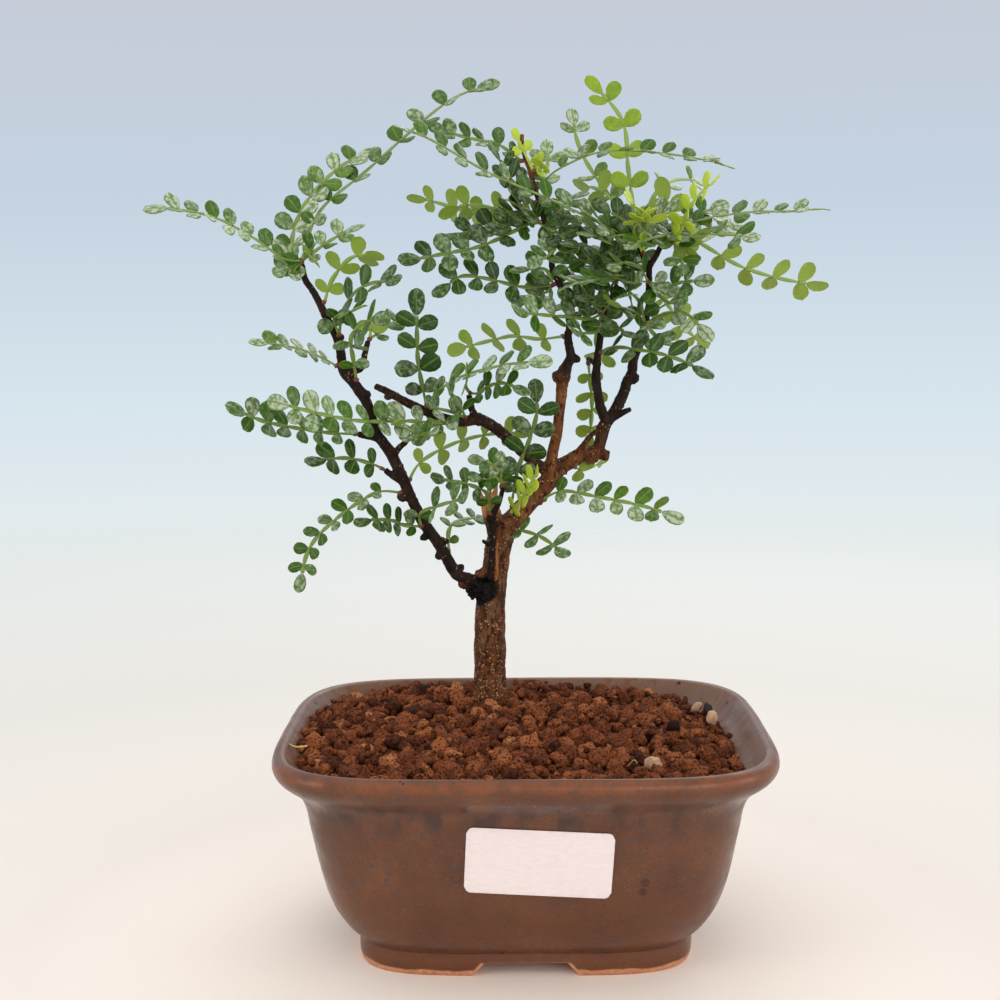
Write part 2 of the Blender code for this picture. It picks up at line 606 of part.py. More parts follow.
def wood_tube(name, home):
    """One piece of wood as a tapered tube with closed ends."""
    curve = bpy.data.curves.new(name, "CURVE")
    curve.dimensions = "3D"
    curve.bevel_depth = MM
    slim = any(word in name for word in STUBS)
    curve.bevel_resolution = ROUND_WOOD.get(name, 0 if slim else 1)
    curve.use_fill_caps = True
    spline = curve.splines.new("POLY")
    route = wood_route(name)
    if name == "trunk":
        foot, radius = route[0]
        below = route[1][0] - UP * (TRUNK_HOLE - GAP) * MM
        route[0] = (below, radius)
    spline.points.add(len(route) - 1)
    for point, (place, radius) in zip(spline.points, route):
        point.co = (*place, 1)
        point.radius = radius
    drawn = bpy.data.objects.new(name, curve)
    home.objects.link(drawn)
    mesh = evaluated_mesh(drawn)
    tube = bpy.data.objects.new(name, mesh)
    tube.matrix_world = drawn.matrix_world
    home.objects.link(tube)
    bpy.data.objects.remove(drawn, do_unlink=True)
    shape = bmesh.new()
    shape.from_mesh(mesh)
    bmesh.ops.remove_doubles(shape, verts=shape.verts, dist=0.00001)
    bmesh.ops.recalc_face_normals(shape, faces=shape.faces)
    shape.to_mesh(mesh)
    shape.free()
    return tube


def lump(name, centre, radius, detail, uneven, home):
    """A rough round lump about a point in metres."""
    shape = bmesh.new()
    if detail:
        bmesh.ops.create_icosphere(shape, subdivisions=detail, radius=radius * MM)
    else:
        bmesh.ops.create_uvsphere(shape, u_segments=4, v_segments=2, radius=radius * MM)
    draw = random.Random(name)
    for vertex in shape.verts:
        vertex.co *= 1 + draw.uniform(-uneven, uneven)
        vertex.co += centre
    mesh = bpy.data.meshes.new(name)
    shape.to_mesh(mesh)
    shape.free()
    made = bpy.data.objects.new(name, mesh)
    home.objects.link(made)
    return made


def make_wood(look, home):
    """Trunk, branches, stubs and knob, grown as one piece."""
    pieces = [wood_tube(name, home) for name in WOOD]
    across, down, behind, radius = KNOB
    pieces.append(lump("knob", photo_point(across, down, behind), radius, 2, 0.16, home))
    wood = fuse("wood", pieces, look)
    wood.data.shade_smooth()
    wood.data.set_sharp_from_angle(angle=math.radians(60))


def seat(branch, pixel, toward):
    """Where a bud of this branch sits: its centre, clear of the wood, and how far behind the pot's middle."""
    wanted = Vector(pixel)
    best = None
    last = len(WOOD[branch]) - 2
    for index, (start, end) in enumerate(zip(WOOD[branch], WOOD[branch][1:])):
        step = Vector(end[:2]) - Vector(start[:2])
        share = min(1.0, max(0.0, (wanted - Vector(start[:2])).dot(step) / step.length_squared))
        off = (Vector(start[:2]) + step * share - wanted).length
        if best is None or off < best[0] - 1e-9:
            best = (off, index, share)
    _, index, share = best
    start, end = WOOD[branch][index], WOOD[branch][index + 1]
    across, down, behind, radius = [a + (b - a) * share for a, b in zip(start, end)]
    axis = (photo_point(*end[:3]) - photo_point(*start[:3])).normalized()
    centre = photo_point(across, down, behind)
    out = (photo_point(toward[0], toward[1], behind + toward[2]) - centre).normalized()
    at_tip = index == last and share > 0.98 and out.dot(axis) > 0
    if not at_tip:
        out = (out - axis * out.dot(axis)).normalized()
    aside = math.sqrt(max(0.0, 1 - out.dot(axis) ** 2))
    return centre + out * (radius * aside + BUD + GAP) * MM, behind


def smooth_route(points):
    """A Catmull-Rom curve through points, as a list of close points with their running length."""
    ends = [points[0] * 2 - points[1]] + points + [points[-1] * 2 - points[-2]]
    curve = []
    for index in range(1, len(ends) - 2):
        before, start, end, after = ends[index - 1 : index + 3]
        for step in range(8):
            t = step / 8
            curve.append(
                0.5 * (2 * start + (end - before) * t + (2 * before - 5 * start + 4 * end - after) * t**2
                       + (3 * start - before - 3 * end + after) * t**3)
            )
    curve.append(points[-1])
    return curve


class Stalk:
    """A leaf's stalk: points, directions and faces along its length, all in metres."""

    def __init__(self, points, tilt):
        self.points = points
        self.lengths = [0.0]
        for start, end in zip(points, points[1:]):
            self.lengths.append(self.lengths[-1] + (end - start).length)
        self.length = self.lengths[-1]
        turn = math.radians(tilt)
        self.face = TO_VIEWER * math.sin(turn) + UP * math.cos(turn)

    def at(self, run):
        """Point, direction, side and face at a running length."""
        run = min(max(run, 0.0), self.length)
        index = 0
        while index < len(self.points) - 2 and self.lengths[index + 1] < run:
            index += 1
        start, end = self.points[index], self.points[index + 1]
        share = (run - self.lengths[index]) / (self.lengths[index + 1] - self.lengths[index])
        ahead = (end - start).normalized()
        face = (self.face - ahead * self.face.dot(ahead)).normalized()
        return start.lerp(end, share), ahead, ahead.cross(face), face


def add_leaflet(vertices, faces, base, direction, across, face, length):
    """A leaflet on two points of the stalk: six corners in four triangles."""
    middle = (vertices[base[0]] + vertices[base[1]]) / 2
    half = length * LEAFLET_WIDTH / 2
    first = len(vertices)
    for along, wide, lift in ((0.42, -1.0, 0.0), (0.92, -0.5, 0.04), (0.92, 0.5, 0.04), (0.42, 1.0, 0.0)):
        vertices.append(middle + direction * length * along + across * half * wide - face * length * lift)
    corners = [base[0], first, first + 1, first + 2, first + 3, base[1]]
    for a, b, c in ((0, 1, 4), (0, 4, 5), (1, 2, 3), (1, 3, 4)):
        faces.append([corners[a], corners[b], corners[c]])


def leaf_route(bud, behind, pixels, reach):
    """The smooth route of a leaf's stalk from its bud through its pixels, reaching back by even steps."""
    runs = [0.0]
    for start, end in zip(pixels, pixels[1:]):
        runs.append(runs[-1] + math.dist(start, end))
    before = 0.25 * runs[-1]
    places = [bud]
    for run, (across, down) in zip(runs, pixels):
        places.append(photo_point(across, down, behind + reach * (run + before) / (runs[-1] + before)))
    return smooth_route(places)


def pair_places(length, size, pairs):
    """Where along a stalk its pairs of leaflets sit, and the leaflet at its end."""
    end = length - END_BACK * size
    first = max(BARE_SHARE * length, BARE_LEAST * MM) if pairs > 1 else end * ONLY_PAIR
    step = (end - PAIR_BACK * size - first) / max(1, pairs - 1)
    return [first + step * index for index in range(pairs)], end


def make_leaf(name, bud, behind, leaf, home):
    """One compound leaf: a thin arched blade whose outline is cut to the stalk between its leaflets."""
    pixels, reach, tilt, pairs, size = leaf
    stalk = Stalk(leaf_route(bud, behind, pixels, reach), tilt)
    size *= MM
    centres, end = pair_places(stalk.length, size, pairs)
    stations = [0.0]
    for centre in centres:
        stations += [centre - LEAFLET_BASE / 2 * MM, centre + LEAFLET_BASE / 2 * MM]
    stations.append(end)
    vertices = []
    faces = []
    for run in stations:
        point, ahead, side, face = stalk.at(run)
        vertices += [point - side * RACHIS / 2 * MM, point + side * RACHIS / 2 * MM]
    for index in range(len(stations) - 1):
        left, right = 2 * index, 2 * index + 1
        faces += [[left, right, right + 2], [left, right + 2, left + 2]]
    for index, centre in enumerate(centres):
        point, ahead, side, face = stalk.at(centre)
        rear = 2 * (2 * index + 1)
        grown = size * (FIRST_PAIR if index == 0 and pairs > 2 else 1.0)
        for hand in (1, -1):
            out = (ahead * LEAN_AHEAD + side * hand + face * LEAN_UP).normalized()
            across = (ahead - out * ahead.dot(out)).normalized()
            base = (rear + 1, rear + 3) if hand > 0 else (rear + 2, rear)
            add_leaflet(vertices, faces, base, out, across * hand, out.cross(across) * hand, grown)
    point, ahead, side, face = stalk.at(end)
    tip = len(stations) * 2
    add_leaflet(vertices, faces, (tip - 1, tip - 2), ahead, -side, face, size * END_LEAFLET)
    blade = mesh_object(name, vertices, faces, None, home)
    thickness = blade.modifiers.new("thickness", "SOLIDIFY")
    thickness.thickness = BLADE * MM
    thickness.offset = 0
    apply_modifiers(blade)
    return blade


def make_spray(name, spray, look, home):
    """All leaves that grow from one bud, as one body."""
    branch, pixel, leaves = spray
    span = len(leaves)
    toward = [sum(leaf[0][0][axis] for leaf in leaves) / span for axis in (0, 1)]
    toward.append(sum(leaf[1] * 0.25 for leaf in leaves) / span)
    bud, behind = seat(branch, pixel, toward)
    pieces = [lump(name + "_bud", bud, BUD, 0, 0.0, home)]
    for index, leaf in enumerate(leaves):
        pieces.append(make_leaf(f"{name}_{index}", bud, behind, leaf, home))
    return fuse(name, pieces, look)


def main():
    clear_scene()
    home = collection("chinese_pepper_bonsai")
    cutters = collection("cutters")
    make_pot(material("pot_glaze", (0.13, 0.06, 0.035), 0.35), home, cutters)
    make_drain_net(material("net_plastic", (0.04, 0.04, 0.04), 0.6), home, cutters)
    make_soil(material("soil_grains", (0.2, 0.07, 0.03), 0.9), home, cutters)
    make_label(material("label_paper", (0.86, 0.8, 0.82), 0.55), home)
    make_wood(material("bark", (0.06, 0.028, 0.018), 0.75), home)
    leaf_green = material("leaf_green", (0.03, 0.13, 0.02), 0.35)
    for name, spray in SPRAYS.items():
        make_spray(name, spray, leaf_green, home)
    leaf_young = material("leaf_young", (0.25, 0.5, 0.04), 0.4)
    for name, spray in YOUNG_SPRAYS.items():
        make_spray(name, spray, leaf_young, home)


main()
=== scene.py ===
"""The looks of a small bonsai in its glazed pot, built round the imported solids.

The pot, its drain net, the soil grains, the label, the wood and every leaf are fine meshes that stand where
the solids stand. Metres, +Z up, front towards -Y; tables and most named sizes are in millimetres.
"""

import math
import random

import bmesh
import bpy
import numpy as np
from mathutils import Matrix, Vector, kdtree, noise


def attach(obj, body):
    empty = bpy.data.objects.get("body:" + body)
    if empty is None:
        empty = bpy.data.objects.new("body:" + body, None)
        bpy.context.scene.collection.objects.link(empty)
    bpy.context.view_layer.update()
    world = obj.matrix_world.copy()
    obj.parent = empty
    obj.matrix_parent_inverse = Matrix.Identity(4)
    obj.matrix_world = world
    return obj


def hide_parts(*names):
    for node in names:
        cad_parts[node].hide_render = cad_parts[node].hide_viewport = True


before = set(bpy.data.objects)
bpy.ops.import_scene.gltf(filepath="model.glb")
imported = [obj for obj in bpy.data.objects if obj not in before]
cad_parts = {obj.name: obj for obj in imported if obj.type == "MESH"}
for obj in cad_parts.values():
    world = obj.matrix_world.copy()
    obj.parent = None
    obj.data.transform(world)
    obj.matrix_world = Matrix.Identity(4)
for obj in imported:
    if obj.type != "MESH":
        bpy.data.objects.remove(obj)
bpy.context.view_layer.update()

MM = 0.001
UP = Vector((0, 0, 1))
TO_VIEWER = Vector((0, -1, 0))

# The pot, in millimetres. Half widths are those of the rounded rectangle along X.
DEPTH_LESS = 11.0
SQUARENESS = 4.55
AROUND = 144
FOOT_TOP = 4.4
FOOT_INNER = 39.5
FRONT_RECESS = 31.6
SIDE_RECESS = 20.0
RECESS_HEIGHT = 3.9
RECESS_SLANT = 4.4
BARE_FOOT = 2.8  # the glaze ends at this height
BARE_RECESS = 16.2  # and this far beside the middle of the front recess
DRAIN_RADIUS = 7.0
FLOOR = 9.5
GAP = 0.3
NET_SIDE = 26.0
SOIL_LEVEL = 58.0
SOIL_MOUND = 3.6
MOUND_SPREAD = 27.0
SOIL_SUNK = 3.4  # how far the soil lies lower and further in at the right
CRUMB_EDGE = 34  # how sharp the edges between a grain's flats are
CRUMB_LUMPS = ((1.9, 0.10), (4.2, 0.16), (8.5, 0.10))  # how fine and how high, for a grain of radius 1
BARK_VOXEL = 0.32
BLACK_KNOB = (3.6, 4.9)  # from the knob's middle, where the black bark begins to fade and ends
LABEL = (39.0, 19.0, 0.22)
LABEL_CORNER = 1.9
LABEL_CENTRE = (3.6, 36.5)
LABEL_LEAN = -3.2
OUTSIDE = [
    (47.3, 0.0), (47.5, FOOT_TOP), (47.2, 6.4), (51.6, 11.5), (55.2, 18.5), (57.6, 27.0), (60.2, 40.0),
    (61.2, 45.5), (63.4, 50.6), (68.4, 55.2), (70.0, 58.0), (69.7, 60.3), (68.3, 61.5), (66.9, 61.3),
]
INSIDE = [(65.8, 59.8), (63.0, 56.2), (57.6, 52.0), (55.2, 45.0), (50.6, 22.0), (41.5, FLOOR)]

# Dark marks on the glaze: pixel across, pixel down, radius. Chips and drips are near black, blots are brown.
CHIPS = [
    (679, 683, 0.7), (727, 702.5, 0.8), (730, 714.5, 0.4), (733, 712.5, 0.4), (736, 710.5, 0.4),
    (721, 721, 0.6), (743, 742, 0.4), (746, 739.5, 0.5), (749, 737, 0.5), (752, 734.5, 0.5),
    (755, 732, 0.5), (758, 730, 0.4), (298, 716, 0.5), (316, 703, 0.7), (400, 782, 0.4), (403, 784, 0.4),
]
BLOTS = [(645, 883, 1.4), (643, 892, 1.3), (309, 745, 0.9), (272, 760, 0.9)]

# The photograph's camera, 1000 by 1000 pixels, about the middle of the pot; millimetres and radians.
PICTURE_SIDE = 1000.0
PICTURE_MIDDLE = 500.0
FOCAL = 1563.0
CAMERA_X = -1.28
CAMERA_DISTANCE = 445.6
CAMERA_HEIGHT = 179.5
CAMERA_YAW = 0.0119
CAMERA_PITCH = 0.1173
CAMERA_ROLL = -0.0073
POT_MIDDLE = Vector((3.8, -5.7, 0.0))

# Every piece of wood: pixel across, pixel down, distance behind the pot's middle, radius.
WOOD = {
    "trunk": [
        (490, 716, 28, 5.4), (490, 697, 28, 5.2), (490, 665, 28, 4.9), (490, 633, 28, 4.7),
        (490.5, 607, 28, 4.6), (495, 572, 28, 3.9), (498, 548, 27.5, 4.0), (503, 532, 27, 3.9),
        (509, 523, 27, 3.4),
    ],
    "limb": [
        (504, 530, 27, 3.4), (523, 508, 28, 3.0), (536, 495, 29, 2.9), (551, 478, 30, 2.7),
        (559, 468, 31, 2.6), (571, 461, 31.5, 2.4), (584, 453.5, 32, 2.2), (597, 452.5, 32, 2.1),
    ],
    "limb_end": [(594, 452.5, 32, 2.0), (609, 456, 31, 1.6)],
    "limb_fork": [
        (596, 454, 32, 2.0), (599, 446, 32, 1.9), (601, 439, 32, 1.9), (604, 427, 31.5, 1.9),
        (608, 419, 31, 1.9),
    ],
    "limb_left": [
        (607, 421, 31, 1.8), (601, 409, 29.5, 1.5), (598, 394, 28.5, 1.4), (596, 379, 27.5, 1.4),
        (597, 363, 27, 1.2), (598, 353, 26.5, 1.1), (605, 310, 28, 1.0), (611, 299, 30, 0.9),
        (617, 285, 32, 0.8),
    ],
    "limb_right": [
        (608, 420, 31, 1.8), (613, 414, 31.5, 1.8), (619, 403, 32.5, 1.7), (624, 392, 33, 1.6),
        (627, 382, 33.5, 1.6), (632, 371, 34, 1.5), (634, 357, 34.5, 1.5), (641, 340, 34.5, 1.3),
        (645, 321, 34, 1.2), (649, 306, 33.5, 1.1), (649, 292, 33, 1.1), (649, 275, 32, 1.0),
        (649, 265, 31, 1.0),
    ],
    "tip_right": [
        (649, 267, 31.2, 1.0), (656, 256, 30, 0.9), (661, 246, 29, 0.85), (668, 236, 28, 0.8),
        (672, 231, 27.5, 0.7),
    ],
    "tip_left": [(649, 267, 31.2, 1.0), (645, 261, 31.5, 0.9), (641, 251, 32, 0.8), (639, 243, 32, 0.7)],
    "middle": [
        (549, 474, 30, 1.8), (550, 467, 29.5, 1.8), (553, 451, 29, 1.7), (557, 433, 28, 1.6),
        (559, 415, 27, 1.6), (561, 399, 26, 1.6), (562, 385, 25, 1.8), (563, 376, 24.5, 2.4),
        (567, 365, 24, 1.6), (571, 357, 23.5, 1.4), (569, 346, 23.5, 1.3), (568, 334, 23.5, 1.2),
        (570, 326, 23.5, 1.1), (564, 295, 24, 1.0), (553, 270, 25, 0.95), (551, 253, 25.5, 0.9),
        (546, 239, 26, 0.9), (543, 215, 26.5, 0.85), (538, 199, 27, 0.8), (534, 185, 27.5, 0.8),
        (530, 171, 28, 0.75), (525, 157, 28.5, 0.7), (522, 145, 29, 0.7), (522, 134, 29, 0.7),
    ],
    "left": [
        (488, 588, 26.5, 1.8), (472, 580, 24, 1.8), (459, 576, 22.5, 1.8), (453, 569, 22, 1.8),
        (444, 553, 20.5, 1.7), (434, 537, 19, 1.7), (423, 522, 17.5, 1.7), (414, 504, 16, 1.6),
        (406, 486, 15, 1.7), (398, 468, 14, 1.7), (390, 452, 13, 1.7), (379, 437, 12, 1.6),
        (374, 428, 11.5, 1.6), (368, 406, 10, 1.6), (361, 393, 9, 1.6), (353, 382, 8, 1.6),
        (344, 371, 7, 1.5), (340.5, 352, 6, 1.3), (336, 336, 5, 1.2), (327, 319, 4, 1.2),
        (321, 306, 3.5, 1.1), (313, 291, 3, 1.0), (305, 279, 2.5, 0.95), (302, 264, 2, 0.85),
    ],
    "left_twig": [(346, 373, 7, 1.2), (361, 368, 9, 1.0), (365, 353, 11, 0.9), (368, 341, 12, 0.8)],
    "level": [
        (545, 470, 30, 1.8), (527, 456, 27, 1.7), (509, 439, 24, 1.7), (494, 427, 22, 1.7),
        (479, 419.5, 20.5, 1.8), (464, 421.5, 19.5, 1.6), (449, 420, 18.5, 1.6), (434, 415, 18, 1.5),
        (418, 408, 18, 1.4), (404, 401, 18, 1.3), (388, 392, 18.5, 1.1), (375, 386, 19, 1.0),
    ],
    "level_stub": [(477, 420, 20.5, 1.2), (471, 407, 19, 1.0), (469, 395, 18, 0.9)],
    "left_stub_high": [(378, 438, 12, 1.2), (367, 436, 10, 1.0), (358, 434, 8.5, 0.9)],
    "left_stub_middle": [(403, 482, 15, 1.2), (393, 476, 13.5, 1.0), (385, 470, 12.5, 0.9)],
    "left_stub_inner": [(392, 456, 13, 1.2), (400, 447, 11, 0.9), (407, 441, 9.5, 0.8)],
    "fork_stub": [(612, 418, 31.5, 1.3), (622, 413, 30, 1.0), (631, 409, 29, 0.7)],
    "limb_stub": [(577, 455, 31.5, 1.2), (588, 439, 30, 0.9), (597, 430, 29.5, 0.6)],
    "dead_shoot": [
        (490, 580, 24, 1.1), (492, 549, 23, 1.1), (492, 530, 22.5, 1.1), (493, 515, 22, 1.0),
        (499, 503, 21.5, 0.8), (503, 488, 21, 0.7),
    ],
    "callus": [(494.5, 533, 23.0, 0.3), (496.5, 556, 23.2, 0.45), (496.5, 580, 23.6, 0.4)],
    "dead_side": [(491, 546, 23, 0.7), (483, 541, 20, 0.6)],
    "hanging_twig": [(597, 366, 27, 0.9), (592, 361, 30, 0.8), (588, 359, 33, 0.8)],
    "dead_stub": [(498, 534, 27, 3.0), (492, 516, 27, 2.9), (489, 500, 27, 2.5)],
    "splinter_left": [(485, 504, 26, 1.4), (480, 492, 25.5, 0.3)],
    "splinter_middle": [(489, 504, 27.5, 1.6), (489.5, 486, 27.5, 0.4)],
    "splinter_right": [(493, 504, 26.5, 1.4), (496.5, 485, 26.5, 0.3)],
}
KNOB = (481, 590, 25.5, 3.9)

# Nodes and stumps that swell the wood: pixel across, pixel down, distance behind, radius.
NUBS = [
    (402, 497, 15.5, 1.6), (424, 538, 17.8, 1.4), (445, 541, 19.5, 1.3), (438, 556, 20.0, 1.3),
    (388, 397, 18.5, 1.5), (460, 568, 22.5, 1.5), (560, 376, 24.5, 2.5), (576, 359, 23.5, 1.4),
    (634, 379, 34.0, 1.9), (626, 387, 33.4, 1.9), (603, 427, 31.5, 2.2), (471, 583, 23.5, 2.0),
    (366, 394, 9.0, 1.8), (352, 381, 7.8, 1.9), (343, 370, 7.0, 1.7), (340, 338, 5.0, 1.4),
    (327, 318, 4.0, 1.4), (651, 296, 33.0, 1.4), (646, 322, 34.0, 1.5), (649, 266, 31.0, 1.5),
    (597, 363, 27.0, 1.6), (571, 357, 23.5, 1.7), (570, 327, 23.5, 1.4), (553, 270, 25.0, 1.3),
    (544, 222, 26.2, 1.3), (535, 187, 27.4, 1.2), (478, 419, 20.5, 2.2), (434, 414, 18.0, 1.8),
    (508, 440, 24.0, 1.9), (619, 403, 32.5, 2.0), (560, 467, 31.0, 3.0), (539, 494, 29.0, 3.2),
    (397, 466, 14.0, 2.0), (374, 428, 11.5, 1.9), (592, 456, 32.0, 2.5),
]

# Lumps with a shade of their own: pixel across, pixel down, distance behind, radius, tone.
LUMPS = [
    (481, 574, 24.0, 1.8, 0.5), (485, 569, 24.5, 1.3, 0.55), (463, 584, 23.0, 1.6, 0.5),
    (469, 587, 23.5, 1.5, 0.45), (492, 519, 22.3, 1.8, 0.0), (496, 524, 22.6, 1.2, 0.05),
]

# How light and red the bark is along a piece of wood: (share of its length, 0 black to 1 orange-brown).
BARK = {
    "trunk": [(0, 0.62), (0.6, 0.55), (1, 0.66)],
    "limb": [(0, 0.7), (1, 0.6)],
    "limb_end": [(0, 0.5), (1, 0.5)],
    "limb_fork": [(0, 0.55), (1, 0.3)],
    "limb_stub": [(0, 0.6), (1, 0.45)],
    "middle": [(0, 0.70), (0.28, 0.74), (0.33, 0.12), (0.72, 0.1), (0.84, 0.6), (1, 0.8)],
    "level": [(0, 0.35), (0.3, 0.25), (1, 0.2)],
    "dead_stub": [(0, 0.5), (1, 0.5)],
    "dead_shoot": [(0, 0.0), (1, 0.0)],
    "callus": [(0, 1.2), (1, 1.2)],
    "dead_side": [(0, 0.0), (1, 0.0)],
    "level_stub": [(0, 0.1), (1, 0.05)],
}
PLAIN_BARK = [(0, 0.16), (1, 0.08)]

